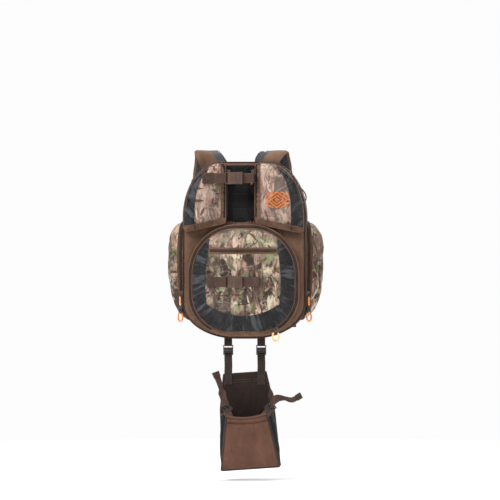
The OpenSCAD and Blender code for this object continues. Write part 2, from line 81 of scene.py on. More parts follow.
for name, eye, size, power in [
        ("key", (-1.9, -2.3, 2.4), 1.2, 128), ("fill", (2.4, -2.4, 0.5), 1.8, 42),
        ("top", (0.2, 0.3, 2.6), 1.6, 42), ("back", (0.8, 2.8, 1.6), 2.0, 76)]:
    light = bpy.data.objects.new(name, bpy.data.lights.new(name, "AREA"))
    light.data.size = size
    light.data.energy = power
    scene.collection.objects.link(light)
    aim(light, eye, (0, 0, 0.1))
world = bpy.data.worlds.new("studio")
world.use_nodes = True
world.node_tree.nodes["Background"].inputs[0].default_value = (1, 1, 1, 1)
seen_directly = world.node_tree.nodes.new("ShaderNodeLightPath").outputs["Is Camera Ray"]
glow = world.node_tree.nodes.new("ShaderNodeMath")
glow.operation = "MULTIPLY_ADD"
glow.inputs[1].default_value = 0.42
glow.inputs[2].default_value = 0.56
world.node_tree.links.new(seen_directly, glow.inputs[0])
world.node_tree.links.new(glow.outputs[0], world.node_tree.nodes["Background"].inputs[1])
scene.world = world

# ---------------------------------------------------------------- materials

def rgb(r, g, b):
    return tuple(((c / 255 + 0.055) / 1.055) ** 2.4 for c in (r, g, b)) + (1.0,)


def lighter(colour, factor, lift=0.01):
    return tuple(min(1, factor * c + lift) for c in colour[:3]) + (1,)


class Graph:
    """A material and short ways to add nodes to it."""

    def __init__(self, name, rough=0.8, sheen=0.0, specular=0.35, metallic=0.0):
        self.mat = bpy.data.materials.new(name)
        self.mat.use_nodes = True
        self.nodes = self.mat.node_tree.nodes
        self.links = self.mat.node_tree.links
        self.shader = self.nodes["Principled BSDF"]
        self.base = self.shader.inputs["Base Color"]
        for key, value in (("Roughness", rough), ("Sheen Weight", sheen), ("Metallic", metallic),
                           ("Specular IOR Level", specular), ("Sheen Roughness", 0.5)):
            self.shader.inputs[key].default_value = value
        self.place = self.node("ShaderNodeTexCoord").outputs["Object"]
        self.x, self.y, self.z = self.node("ShaderNodeSeparateXYZ", Vector=self.place).outputs
        self.across = self.math("ADD", self.x, self.y)
        self.normal = None

    def feed(self, socket, value):
        if isinstance(value, bpy.types.NodeSocket):
            self.links.new(value, socket)
        else:
            socket.default_value = value

    def node(self, kind, props=(), **inputs):
        made = self.nodes.new(kind)
        for key, value in dict(props).items():
            setattr(made, key, value)
        for key, value in inputs.items():
            self.feed(made.inputs[key], value)
        return made

    def math(self, what, *values):
        made = self.nodes.new("ShaderNodeMath")
        made.operation = what
        for socket, value in zip(made.inputs, values):
            self.feed(socket, value)
        return made.outputs[0]

    def noise(self, scale, detail=3.0, rough=0.55, stretch=(1, 1, 1), bend=0.0, shift=(0, 0, 0)):
        moved = self.node("ShaderNodeMapping", Vector=self.place, Scale=stretch, Location=shift)
        return self.node("ShaderNodeTexNoise", Vector=moved.outputs[0], Scale=scale, Detail=detail,
                         Roughness=rough, Distortion=bend).outputs["Fac"]

    def ramp(self, value, *stops):
        made = self.nodes.new("ShaderNodeValToRGB")
        self.feed(made.inputs[0], value)
        items = made.color_ramp.elements
        while len(items) < len(stops):
            items.new(0.5)
        for item, (place, colour) in zip(items, stops):
            item.position = place
            item.color = colour if isinstance(colour, tuple) else (colour, colour, colour, 1)
        return made.outputs[0]

    def mix(self, amount, first, second, kind="MIX"):
        made = self.node("ShaderNodeMix", {"data_type": "RGBA", "blend_type": kind})
        for socket, value in zip((made.inputs[0], made.inputs[6], made.inputs[7]), (amount, first, second)):
            self.feed(socket, value)
        return made.outputs[2]

    def bump(self, height, distance, strength=1.0):
        made = self.node("ShaderNodeBump", Height=height, Distance=distance, Strength=strength)
        if self.normal:
            self.links.new(self.normal, made.inputs["Normal"])
        self.normal = made.outputs[0]
        self.feed(self.shader.inputs["Normal"], self.normal)

    def creases(self, depth=3.6):
        """Soft folds of a few centimetres, with sharper creases between them."""
        folds = self.noise(13, 3, 0.5, (1, 1, 0.7), 0.6)
        ridge = self.noise(17, 2, 0.5, (1.2, 1.2, 0.8), 0.9, (4, 2, 6))
        ridge = self.math("ABSOLUTE", self.math("SUBTRACT", ridge, 0.5))
        self.bump(folds, 2.2 * depth * MM, 0.8)
        self.bump(self.ramp(ridge, (0.0, 0.0), (0.09, 1.0)), 0.55 * depth * MM, 0.7)
        self.bump(self.noise(48, 4, 0.6), 0.6 * depth * MM, 0.6)

    def fan_creases_and_sheen(self, depth):
        """Sharp creases that run outward from the lower pocket's middle; gives the mask of painted highlight
        streaks along them.
        """
        x, z = self.x, self.math("SUBTRACT", self.z, 0.09)
        away = self.math("SQRT", self.math("ADD", self.math("MULTIPLY", x, x), self.math("MULTIPLY", z, z)))
        place = self.node("ShaderNodeCombineXYZ", X=self.math("DIVIDE", x, away),
                          Y=self.math("MULTIPLY", away, 1.6), Z=self.math("DIVIDE", z, away)).outputs[0]
        wave = self.node("ShaderNodeTexNoise", Vector=place, Scale=8.5, Detail=2.5,
                         Roughness=0.6).outputs["Fac"]
        ridge = self.math("ABSOLUTE", self.math("SUBTRACT", wave, 0.5))
        self.bump(self.ramp(ridge, (0.0, 0.0), (0.05, 0.75), (0.12, 1.0)), depth * MM, 0.85)
        return self.ramp(wave, (0.50, 0.0), (0.62, 0.55))

    def threads(self, pitch):
        """Height of a plain weave, from 0 to 1."""
        over = self.math("SINE", self.math("MULTIPLY", self.across, 2 * math.pi / pitch))
        under = self.math("SINE", self.math("MULTIPLY", self.z, 2 * math.pi / pitch))
        return self.math("MULTIPLY_ADD", self.math("MULTIPLY", over, under), 0.5, 0.5)

    def lines(self, pitch, share):
        """1 on the lines of a square grid, else 0."""
        found = []
        for way in (self.across, self.z):
            turns = self.math("DIVIDE", self.math("ADD", way, 9.0), pitch)
            found.append(self.math("LESS_THAN", self.math("FRACT", turns), share))
        return self.math("MAXIMUM", *found)

    def wear_and_hollow_shade(self, colour, light, low=0.51, high=0.60):
        """Lightens raised edges, where fabric and plastic wear, and darkens hollows towards black as painted
        shade.
        """
        bend = self.node("ShaderNodeNewGeometry").outputs["Pointiness"]
        # Painted shade: concave places, found by pointiness, are darkened towards near black.
        colour = self.mix(self.ramp(bend, (0.40, 0.75), (0.49, 0.0)), colour, (0.004, 0.003, 0.003, 1))
        edge = self.ramp(bend, (low, 0.0), (high, 1.0))
        patchy = self.math("MULTIPLY", edge, self.math("MULTIPLY", self.noise(70, 3), 1.1))
        return self.mix(patchy, colour, light)


def cloth(name, colour, shade, pitch=1.3, rough=0.82, sheen=0.04, grid=0.0, dust_and_sheen=0.12, fan_creases_and_sheen=0.0):
    """Woven nylon with folds and lighter streaks, which are dust and, where their share is large, painted
    sheen; grid is its ripstop's spacing and the last argument the depth of its fan creases, which also paint
    highlight streaks.
    """
    g = Graph(name, rough, sheen, 0.16)
    weave = g.threads(pitch * MM)
    tone = g.mix(g.ramp(g.noise(11, 4, 0.6), (0.35, 0.0), (0.68, 1.0)), colour, shade)
    tone = g.mix(g.math("MULTIPLY", weave, 0.22), tone, lighter(colour, 0.45, 0))
    tone = g.mix(g.math("MULTIPLY", g.noise(420, 2), 0.25), tone, shade)
    # Lighter stretched streaks: dust, and on the black ripstops mostly painted sheen.
    dust_sheen_mask = g.ramp(g.noise(21, 5, 0.65, (1, 1, 0.55), 0.8, (1, 4, 9)), (0.46, 0.0), (0.72, dust_and_sheen))
    tone = g.mix(dust_sheen_mask, tone, lighter(colour, 2.2, 0.02))
    height = weave
    if grid:
        net = g.lines(grid * MM, 0.14)
        tone = g.mix(g.math("MULTIPLY", net, 0.35), tone, lighter(shade, 1.9, 0))
        height = g.math("MAXIMUM", weave, g.math("MULTIPLY", net, 1.6))
    if fan_creases_and_sheen:
        # Painted highlight: blue-grey streaks along the fan creases.
        tone = g.mix(g.fan_creases_and_sheen(fan_creases_and_sheen), tone, rgb(84, 86, 90))
    g.feed(g.base, g.wear_and_hollow_shade(tone, lighter(shade, 1.7)))
    g.feed(g.shader.inputs["Roughness"], g.math("MULTIPLY_ADD", g.noise(30, 3), 0.2, rough - 0.1))
    g.creases()
    g.bump(height, 0.25 * MM, 0.8)
    return g.mat


def printed():
    """A generic woodland print: bark streaks, blotches, leaves and twigs."""
    g = Graph("camo print", 0.85, 0.03, 0.14)
    flat = g.node("ShaderNodeCombineXYZ", X=g.across, Y=g.z).outputs[0]
    streak = g.noise(60, 8, 0.64, (1.5, 1.5, 0.36), 0.9)
    tone = g.ramp(streak, (0.28, rgb(44, 34, 30)), (0.37, rgb(98, 78, 67)), (0.45, rgb(152, 125, 109)),
                  (0.54, rgb(204, 176, 156)), (0.64, rgb(226, 204, 186)), (0.76, rgb(158, 126, 110)))
    # 1 low on the pack, where the print is greener and more varied, and 0 high up
    low = g.ramp(g.math("MULTIPLY_ADD", g.z, -5.0, 1.35), (0.1, 0.0), (0.7, 1.0))
    rust = g.ramp(g.noise(17, 3, 0.5, (1, 1, 0.7), 0.5), (0.52, 0.0), (0.64, 0.6))
    tone = g.mix(rust, tone, rgb(144, 104, 88))
    tone = g.mix(g.ramp(g.noise(24, 5, 0.6, (1.3, 1.3, 0.6), 0.8, (3, 1, 7)), (0.52, 0.0), (0.58, 0.9)),
                 tone, rgb(50, 39, 35))
    dusk = g.ramp(g.noise(11, 3, 0.55, (1, 1, 0.8), 0.6, (2, 8, 4)), (0.42, 0.8), (0.58, 0.0))
    tone = g.mix(g.math("MULTIPLY", dusk, g.math("MULTIPLY_ADD", low, 0.6, 0.45)), tone, rgb(52, 44, 42))
    shade = g.ramp(g.noise(7.5, 3, 0.5, (1, 1, 1.3), 0.5, (4, 1, 9)), (0.40, 0.85), (0.53, 0.0))
    tone = g.mix(g.math("MULTIPLY", shade, g.math("MULTIPLY_ADD", low, 0.75, 0.2)), tone, rgb(72, 55, 50))
    tone = g.mix(g.math("MULTIPLY_ADD", low, -0.28, 0.28), tone, rgb(158, 136, 128))
    moss = g.ramp(g.noise(14, 4, 0.6, (1, 1, 0.8), 0.8, (7, 3, 1)), (0.56, 0.0), (0.64, 0.75))
    tone = g.mix(g.math("MULTIPLY", moss, low), tone, rgb(126, 134, 100))
    cream = g.ramp(g.noise(19, 4, 0.62, (1.2, 1.2, 0.8), 1.0, (3, 9, 5)), (0.58, 0.0), (0.63, 0.7))
    tone = g.mix(g.math("MULTIPLY", cream, low), tone, rgb(208, 204, 172))

    def leaf(tone, scale, wide, long, share, colour, vein, shift):
        """Adds leaves of a half width and half length in metres, in a share of the cells."""
        moved = g.node("ShaderNodeVectorMath", {"operation": "ADD"}).outputs[0]
        adder = moved.node
        g.feed(adder.inputs[0], flat)
        adder.inputs[1].default_value = shift
        cells = g.node("ShaderNodeTexVoronoi", {"voronoi_dimensions": "2D"}, Vector=moved, Scale=scale)
        offset = g.node("ShaderNodeVectorMath", {"operation": "SUBTRACT"})
        g.feed(offset.inputs[0], moved)
        g.feed(offset.inputs[1], cells.outputs["Position"])
        pick = g.node("ShaderNodeSeparateColor", Color=cells.outputs["Color"]).outputs
        turned = g.node("ShaderNodeVectorRotate", {"rotation_type": "Z_AXIS"}, Vector=offset.outputs[0],
                        Angle=g.math("MULTIPLY", pick[0], 6.283))
        a, b, _ = g.node("ShaderNodeSeparateXYZ", Vector=turned.outputs[0]).outputs
        reach = g.math("DIVIDE", a, long)
        room = g.math("MULTIPLY_ADD", g.math("MULTIPLY", reach, reach), -wide, wide)
        side = g.math("ABSOLUTE", b)
        edge = g.ramp(g.math("DIVIDE", g.math("SUBTRACT", room, side), 0.0012), (0.0, 0.0), (1.0, 0.9))
        inside = g.math("MULTIPLY", edge, g.math("LESS_THAN", pick[1], share))
        body = g.mix(g.math("LESS_THAN", side, 0.0007), colour, vein)
        body = g.mix(g.math("MULTIPLY", g.noise(240, 3), 0.7), body, vein)
        return g.mix(inside, tone, body)

    tone = leaf(tone, 34, 0.0045, 0.013, 0.34, rgb(116, 76, 57), rgb(62, 42, 34), (0.3, 0.2, 0))
    tone = leaf(tone, 30, 0.0055, 0.016, g.math("MULTIPLY_ADD", low, 0.24, 0.05), rgb(118, 120, 84),
                rgb(66, 70, 44), (0.71, 0.43, 0))
    tone = leaf(tone, 38, 0.0035, 0.012, 0.24, rgb(172, 160, 124), rgb(108, 96, 70), (0.13, 0.9, 0))
    twig = g.math("ABSOLUTE", g.math("SUBTRACT", g.noise(15, 2, 0.4, (1.5, 1.5, 0.8), 1.2, (5, 5, 2)), 0.5))
    twig = g.ramp(twig, (0.006, 1.0), (0.012, 0.0))
    tone = g.mix(g.math("MULTIPLY", twig, g.math("MULTIPLY_ADD", low, 0.4, 0.6)), tone, rgb(46, 38, 34))
    twig = g.math("ABSOLUTE", g.math("SUBTRACT", g.noise(12, 2, 0.4, (0.8, 0.8, 1.5), 1.0, (9, 2, 4)), 0.5))
    tone = g.mix(g.ramp(twig, (0.002, 0.4), (0.007, 0.0)), tone, rgb(206, 190, 170))
    weave = g.threads(1.1 * MM)
    g.feed(g.base, g.mix(g.math("MULTIPLY", weave, 0.18), tone, rgb(60, 50, 44)))
    g.creases(3.0)
    g.bump(weave, 0.2 * MM, 0.7)
    return g.mat


def net(name, colour, thread):
    """Spacer mesh: round holes in staggered rows."""
    g = Graph(name, 0.9, 0.1)
    cells = g.node("ShaderNodeTexVoronoi", Vector=g.place, Scale=310, Randomness=0.25).outputs["Distance"]
    hole = g.ramp(cells, (0.30, 0.0), (0.42, 1.0))
    g.feed(g.base, g.mix(hole, colour, thread))
    g.bump(hole, 0.7 * MM, 0.9)
    g.bump(g.noise(30, 3), 1.0 * MM, 0.4)
    return g.mat


def ribbed(name, colour, shade):
    """Nylon webbing: close ribs both ways."""
    g = Graph(name, 0.68, 0.04, 0.25)
    rib = g.threads(2.0 * MM)
    tone = g.mix(g.ramp(g.noise(35, 3), (0.35, 0.0), (0.7, 1.0)), colour, shade)
    tone = g.mix(g.math("MULTIPLY", rib, 0.3), tone, lighter(colour, 0.4, 0))
    g.feed(g.base, g.wear_and_hollow_shade(tone, lighter(shade, 1.6)))
    g.bump(rib, 0.45 * MM, 0.9)
    return g.mat


def moulded(name, colour, light, rough=0.38, grain=0.25, specular=0.5):
    """Moulded plastic or lacquered metal: fine grain, scuffs, and lighter edges."""
    g = Graph(name, rough, 0.0, specular)
    scuff = g.noise(160, 5, 0.7, (1, 1, 0.3))
    tone = g.mix(g.ramp(scuff, (0.5, 0.0), (0.75, 0.5)), colour, light)
    g.feed(g.base, g.wear_and_hollow_shade(tone, light, 0.52, 0.62))
    g.feed(g.shader.inputs["Roughness"], g.math("MULTIPLY_ADD", scuff, 0.3, rough - 0.12))
    g.bump(g.noise(900, 2), 0.12 * MM, grain)
    return g.mat


def braided(name, colour, fleck):
    g = Graph(name, 0.6, 0.1)
    strand = g.node("ShaderNodeTexWave", {"bands_direction": "DIAGONAL"}, Vector=g.place, Scale=330,
                    Distortion=1.5).outputs["Fac"]
    g.feed(g.base, g.mix(g.math("MULTIPLY", strand, g.noise(300, 2)), colour, fleck))
    g.bump(strand, 0.3 * MM, 0.8)
    return g.mat


def rubber(name, colour, light):
    """Soft sleeve on the zip pulls."""
    g = Graph(name, 0.38, 0.0, 0.5)
    g.feed(g.base, g.mix(g.ramp(g.noise(70, 3), (0.35, 0.0), (0.72, 1.0)), colour, light))
    g.shader.inputs["Subsurface Weight"].default_value = 0.35
    g.shader.inputs["Subsurface Radius"].default_value = (0.004, 0.002, 0.001)
    g.bump(g.noise(220, 3), 0.2 * MM, 0.4)
    return g.mat


def threads(name, colour, shade, pitch=1.1):
    """Satin stitch or sewing thread."""
    g = Graph(name, 0.5, 0.2)
    wave = g.math("SINE", g.math("MULTIPLY", g.math("ADD", g.across, g.z), 2 * math.pi / (pitch * MM)))
    line = g.math("MULTIPLY_ADD", wave, 0.5, 0.5)
    g.feed(g.base, g.mix(g.math("MULTIPLY", line, g.noise(150, 3)), colour, shade))
    g.bump(line, 0.3 * MM, 0.8)
    return g.mat


BROWN = cloth("brown nylon", rgb(112, 85, 68), rgb(88, 64, 50), 1.5)
DARK_BROWN = cloth("dark brown nylon", rgb(62, 44, 36), rgb(48, 34, 28), 1.5)
BOOT = cloth("boot nylon", rgb(100, 70, 56), rgb(78, 53, 42), 1.7)
# The black ripstops take a large share of lighter streaks, mostly painted sheen; the crinkled one also paints
# highlight streaks along its creases.
BLACK = cloth("charcoal ripstop", rgb(48, 48, 48), rgb(30, 30, 31), 1.1, 0.5, 0.03, 6.5, 0.5)
CRINKLED = cloth("crinkled ripstop", rgb(40, 40, 41), rgb(24, 24, 26), 1.1, 0.5, 0.03, 6.5, 0.4, 4.0)
DEEP_BLACK = cloth("black nylon", rgb(19, 17, 17), rgb(13, 12, 12), 1.2, 0.66, 0.0, dust_and_sheen=0.1)
# Painted shade: a darker brown for the boot's back panel, which sits deep in shade inside the boot.
BOOT_BACK_SHADED = cloth("boot back in painted shade", rgb(42, 30, 25), rgb(30, 22, 19), 1.5)
LINING = cloth("grey lining", rgb(92, 90, 86), rgb(78, 76, 73), 1.0, 0.7, 0.05)
CAMO = printed()
MESH = net("spacer mesh", rgb(22, 22, 24), rgb(66, 66, 70))
WEB = ribbed("brown webbing", rgb(76, 53, 43), rgb(58, 40, 33))
# Partly painted shade: the straps under the bag get this darker webbing, partly its own darker brown and
# partly the shade under the bag.
DARK_SHADED_WEB = ribbed("dark brown webbing with painted shade", rgb(50, 36, 30), rgb(38, 27, 23))
BLACK_WEB = ribbed("black webbing", rgb(34, 33, 34), rgb(26, 26, 28))
BUCKLE = moulded("buckle plastic", rgb(25, 21, 20), rgb(62, 52, 46), 0.26)
RETAINER = moulded("brown buckle plastic", rgb(66, 47, 39), rgb(104, 80, 67), 0.3)
SHEET_PLASTIC = moulded("sheet plastic", rgb(28, 28, 30), rgb(70, 70, 74), 0.5, 0.5)
METAL = moulded("lacquered metal", rgb(24, 23, 23), rgb(120, 112, 102), 0.3, 0.1, 0.8)
COIL = moulded("zip coil", rgb(30, 26, 25), rgb(84, 76, 70), 0.4)
CORD = braided("shock cord", rgb(36, 34, 34), rgb(110, 104, 98))
PULL_CORD = braided("pull cord", rgb(40, 34, 31), rgb(96, 84, 74))
SLEEVE = rubber("orange sleeve", rgb(238, 124, 36), rgb(250, 176, 96))
PALE_SLEEVE = rubber("pale orange sleeve", rgb(240, 172, 92), rgb(252, 222, 168))
PATCH = threads("orange satin stitch", rgb(236, 132, 52), rgb(178, 84, 26))
THREAD = threads("brown thread", rgb(128, 100, 82), rgb(84, 62, 50), 0.6)
BLACK_THREAD = threads("black thread", rgb(70, 68, 68), rgb(34, 34, 36), 0.6)

# ---------------------------------------------------------------- outlines

def arc(cx, cz, rx, rz, start, stop, steps=24):
    return [(cx + rx * math.cos(a), cz + rz * math.sin(a))
            for a in np.radians(np.linspace(start, stop, steps + 1))]


def four_arcs(upper, lower, inset):
    """Outline of four quarter ellipses; each pair is its centre's x and z, and its radii along x and z."""
    parts = []
    for (x, z, rx, rz), start in ((upper, 0), (upper, 90), (lower, 180), (lower, 270)):
        side = 1 if start in (0, 270) else -1
        parts += arc(side * x, z, rx - inset, rz - inset, start, start + 90)
    return np.array(parts)


BAG_UPPER, BAG_LOWER = (60, 235, 95, 141), (20, 20, 135, 90)
POCKET_UPPER, POCKET_LOWER = (20, 90, 121, 128), (35, 42, 106, 106)


def bag_outline(inset=0.0):
    return four_arcs(BAG_UPPER, BAG_LOWER, inset)


def borders(outline):
    """Corner, inward direction, one for each side of a convex outline that runs anticlockwise."""
    run = np.roll(outline, -1, 0) - outline
    size = np.hypot(*run.T)
    keep = size > 1e-6
    inward = np.stack([-run[:, 1], run[:, 0]], 1)[keep] / size[keep, None]
    return outline[keep], inward


def depth_in(outline, points):
    """How far inside a convex outline each point is."""
    corner, inward = borders(outline)
    points = np.asarray(points, float).reshape(-1, 2)
    return (points @ inward.T - (corner * inward).sum(1)).min(1)


def clip(outline, corner, inward):
    gone = (outline - corner) @ inward
    kept = []
    for i, (a, da) in enumerate(zip(outline, gone)):
        b, db = outline[(i + 1) % len(outline)], gone[(i + 1) % len(outline)]
        if da >= 0:
            kept.append(a)
        if (da >= 0) != (db >= 0):
            kept.append(a + (b - a) * da / (da - db))
    return np.array(kept)


def shrink(outline, inset):
    made = outline
    for corner, inward in zip(*borders(outline)):
        made = clip(made, corner + inward * inset, inward)
    return made


def rounded(outline, r):
    """A convex outline with its corners rounded."""
    core = shrink(outline, r)
    way = np.linspace(0, 2 * math.pi, 181)[:-1]
    way = np.stack([np.cos(way), np.sin(way)], 1)
    return core[np.argmax(way @ core.T, 1)] + r * way


def resample(path, step, closed=False):
    """Points an even distance apart along a path."""
    path = np.asarray(path, float)
    if closed:
        path = np.vstack([path, path[:1]])
    along = np.concatenate([[0], np.cumsum(np.linalg.norm(np.diff(path, axis=0), axis=1))])
    count = max(2, int(round(along[-1] / step)))
    places = np.linspace(0, along[-1], count + 1)
    if closed:
        places = places[:-1]
    return np.stack([np.interp(places, along, path[:, k]) for k in range(path.shape[1])], 1)


def smooth(path, step=3.0, closed=False):
    """A curve through the points, resampled evenly."""
    p = np.asarray(path, float)
    if closed:
        p = np.vstack([p[-1:], p, p[:2]])
    else:
        p = np.vstack([2 * p[0] - p[1], p, 2 * p[-1] - p[-2]])
    made = []
    for a, b, c, d in zip(p, p[1:], p[2:], p[3:]):
        for t in np.linspace(0, 1, 12, endpoint=False):
            made.append(0.5 * (2 * b + (c - a) * t + (2 * a - 5 * b + 4 * c - d) * t * t
                               + (3 * b - a - 3 * c + d) * t ** 3))
    if not closed:
        made.append(p[-2])
    return resample(made, step, closed)


def upper_outline(inner):
    """An upper pocket, on the right; inner is its distance from the middle."""
    slope = math.tan(math.radians(12))
    made = clip(bag_outline(2), np.array([inner, 0.0]), np.array([1.0, 0.0]))
    made = clip(made, np.array([inner, 220.0]), np.array([slope, 1.0]) / math.hypot(slope, 1))
    return rounded(made, 10)


def round_box(x0, z0, x1, z1, r):
    return np.array(arc(x1 - r, z1 - r, r, r, 0, 90, 8) + arc(x0 + r, z1 - r, r, r, 90, 180, 8)
                    + arc(x0 + r, z0 + r, r, r, 180, 270, 8) + arc(x1 - r, z0 + r, r, r, 270, 360, 8))

# ---------------------------------------------------------------- mesh makers

def unit(v):
    v = np.asarray(v, float)
    return v / np.maximum(np.linalg.norm(v, axis=-1, keepdims=True), 1e-9)


def spread(vectors, count):
    """Vectors interpolated evenly to a new count."""
    vectors = np.asarray(vectors, float)
    places, known = np.linspace(0, 1, count), np.linspace(0, 1, len(vectors))
    return np.stack([np.interp(places, known, vectors[:, k]) for k in range(3)], 1)


def standing(ring, y):
    """An outline of x and z set upright at one y."""
    return np.stack([ring[:, 0], np.full(len(ring), float(y)), ring[:, 1]], 1)


def plain(x, z, d):
    """The label of a surface with one material."""
    return np.zeros(len(x), int)


def wall_faces(base, rows, n):
    """Faces of a closed wall of rows, each of n points."""
    return [(base + r * n + i, base + r * n + (i + 1) % n, base + (r + 1) * n + (i + 1) % n,
             base + (r + 1) * n + i) for r in range(rows) for i in range(n)]


class Build:
    """Surfaces in millimetres, made into one object at the end."""

    def __init__(self):
        self.verts, self.faces, self.which = [], [], []

    def add(self, verts, faces, mat=0):
        start = len(self.verts)
        self.verts.extend(tuple(v) for v in np.asarray(verts, float))
        self.faces.extend(tuple(start + int(i) for i in f) for f in faces)
        self.which.extend([mat] * len(faces) if isinstance(mat, int) else list(mat))
        return self

    def make(self, name, mats, body, slot, nodes=(), weld=0.02, sharp=50):
        mesh = bpy.data.meshes.new(name)
        mesh.from_pydata([(x * MM, y * MM, z * MM) for x, y, z in self.verts], [], self.faces)
        for mat in mats:
            mesh.materials.append(mat)
        mesh.polygons.foreach_set("material_index", self.which)
        shape = bmesh.new()
        shape.from_mesh(mesh)
        if weld:
            bmesh.ops.remove_doubles(shape, verts=shape.verts, dist=weld * MM)
        bmesh.ops.recalc_face_normals(shape, faces=shape.faces)
        shape.to_mesh(mesh)
        shape.free()
        mesh.shade_smooth()
        mesh.set_sharp_from_angle(angle=math.radians(sharp))
        piece = bpy.data.objects.new(name, mesh)
        scene.collection.objects.link(piece)
        return settle(piece, body, slot, nodes)


def settle(piece, body, slot, nodes=()):
    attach(piece, body)
    if nodes:
        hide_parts(*nodes)
    return piece


def sweep(path, section, side, closed=False, scale=None):
    """A section of (side, out) points carried along a path; out is the path's direction crossed with side."""
    p = np.asarray(path, float)
    t = unit(np.roll(p, -1, 0) - np.roll(p, 1, 0)) if closed else unit(np.gradient(p, axis=0))
    hint = np.broadcast_to(np.asarray(side, float), p.shape)
    s = unit(hint - t * (t * hint).sum(1, keepdims=True))
    u = np.cross(t, s)
    sec = np.asarray(section, float)
    sec = np.broadcast_to(sec, (len(p),) + sec.shape[-2:])
    if scale is not None:
        sec = sec * np.asarray(scale, float).reshape(-1, 1, 1)
    k = sec.shape[1]
    verts = p[:, None] + s[:, None] * sec[:, :, :1] + u[:, None] * sec[:, :, 1:]
    rows = len(p) if closed else len(p) - 1
    faces = [(i * k + j, i * k + (j + 1) % k, (i + 1) % len(p) * k + (j + 1) % k, (i + 1) % len(p) * k + j)
             for i in range(rows) for j in range(k)]
    if not closed:
        faces += [tuple(range(k)), tuple(len(p) * k - 1 - j for j in range(k))]
    return verts.reshape(-1, 3), faces


HALF_TURN = np.linspace(0, math.pi, 9)


def disc(r, sides=8):
    a = np.linspace(0, 2 * math.pi, sides, endpoint=False)
    return np.stack([r * np.cos(a), r * np.sin(a)], 1)


def flat(width, thick):
    w, t, e = width / 2, thick / 2, min(0.7, thick / 3)
    row = [-w + e, -w * 0.45, 0, w * 0.45, w - e]
    return np.array([(x, -t) for x in row] + [(w, 0)] + [(x, t) for x in row[::-1]] + [(-w, 0)])


def two_sided(rows, cols):
    """Faces of a grid of points, of its copy behind it, and of the rim between the two."""
    n, m = cols + 1, (rows + 1) * (cols + 1)
    faces = [(i * n + j, i * n + j + 1, (i + 1) * n + j + 1, (i + 1) * n + j)
             for i in range(rows) for j in range(cols)]
    rim = list(range(cols)) + [i * n + cols for i in range(rows)] + [rows * n + j for j in range(cols, 0, -1)]
    rim += [i * n for i in range(rows, 0, -1)]
    behind = [tuple(m + k for k in f[::-1]) for f in faces]
    return faces + behind + [(a, m + a, m + b, b) for a, b in zip(rim, rim[1:] + rim[:1])]


def tube(build, path, r, mat=0, sides=8, closed=False, side=(0.03, 1, 0.02)):
    build.add(*sweep(path, disc(r, sides), side, closed), mat)


def strap(build, path, width, thick, side, mat=0, step=4.0):
    line = smooth(path, step)
    build.add(*sweep(line, flat(width, thick), side), mat)
    return line


def stitches(build, path, out, mat, long=3.2, gap=1.5, size=0.8, closed=False):
    """Grains of thread along a path, lying on the side that out points to."""
    line = resample(path, 1.2, closed)
    if closed:
        line = np.vstack([line, line[:1]])
    out = np.asarray(out, float)
    along = np.concatenate([[0], np.cumsum(np.linalg.norm(np.diff(line, axis=0), axis=1))])
    starts = np.arange(0.4, along[-1] - long, long + gap)
    if not len(starts):
        return

    def at(s):
        return np.stack([np.interp(s, along, line[:, k]) for k in range(3)], 1)

    a, b = at(starts), at(starts + long)
    if out.ndim == 2:
        seat = np.interp(starts, along, np.linspace(0, len(out) - 1, len(along))).round().astype(int)
        o = unit(out[seat])
    else:
        o = np.broadcast_to(unit(out), a.shape)
    side = unit(np.cross(unit(b - a), o))
    mid = (a + b) / 2 + o * size * 0.35
    h = size / 2
    ring = [mid + side * h, mid + o * h, mid - side * h, mid - o * h]
    verts = np.stack([a] + ring + [b], 1).reshape(-1, 3)
    tri = [(0, 1, 2), (0, 2, 3), (0, 3, 4), (0, 4, 1), (5, 2, 1), (5, 3, 2), (5, 4, 3), (5, 1, 4)]
    build.add(verts, [tuple(6 * i + k for k in f) for i in range(len(a)) for f in tri], mat)


def box(build, centre, size, axes=None, mat=0, chamfer=0.25):
    """A small block with its edges taken off, turned to the given axes."""
    half = np.asarray(size, float) / 2
    c = min(chamfer, half.min() * 0.6)
    verts, faces = [], []
    for k in range(3):
        for s in (-1, 1):
            start = len(verts)
            i, j = (k + 1) % 3, (k + 2) % 3
            for a, b in ((-1, -1), (1, -1), (1, 1), (-1, 1)):
                v = np.zeros(3)
                v[k], v[i], v[j] = s * half[k], a * (half[i] - c), b * (half[j] - c)
                verts.append(v)
            faces.append(tuple(range(start, start + 4)))
    hull = bmesh.new()
    for v in verts:
        hull.verts.new(v)
    bmesh.ops.convex_hull(hull, input=hull.verts)
    hull.verts.index_update()
    verts = np.array([v.co for v in hull.verts])
    faces = [tuple(v.index for v in f.verts) for f in hull.faces]
    hull.free()
    if axes is not None:
        verts = verts @ np.asarray(axes, float)
    build.add(verts + np.asarray(centre, float), faces, mat)


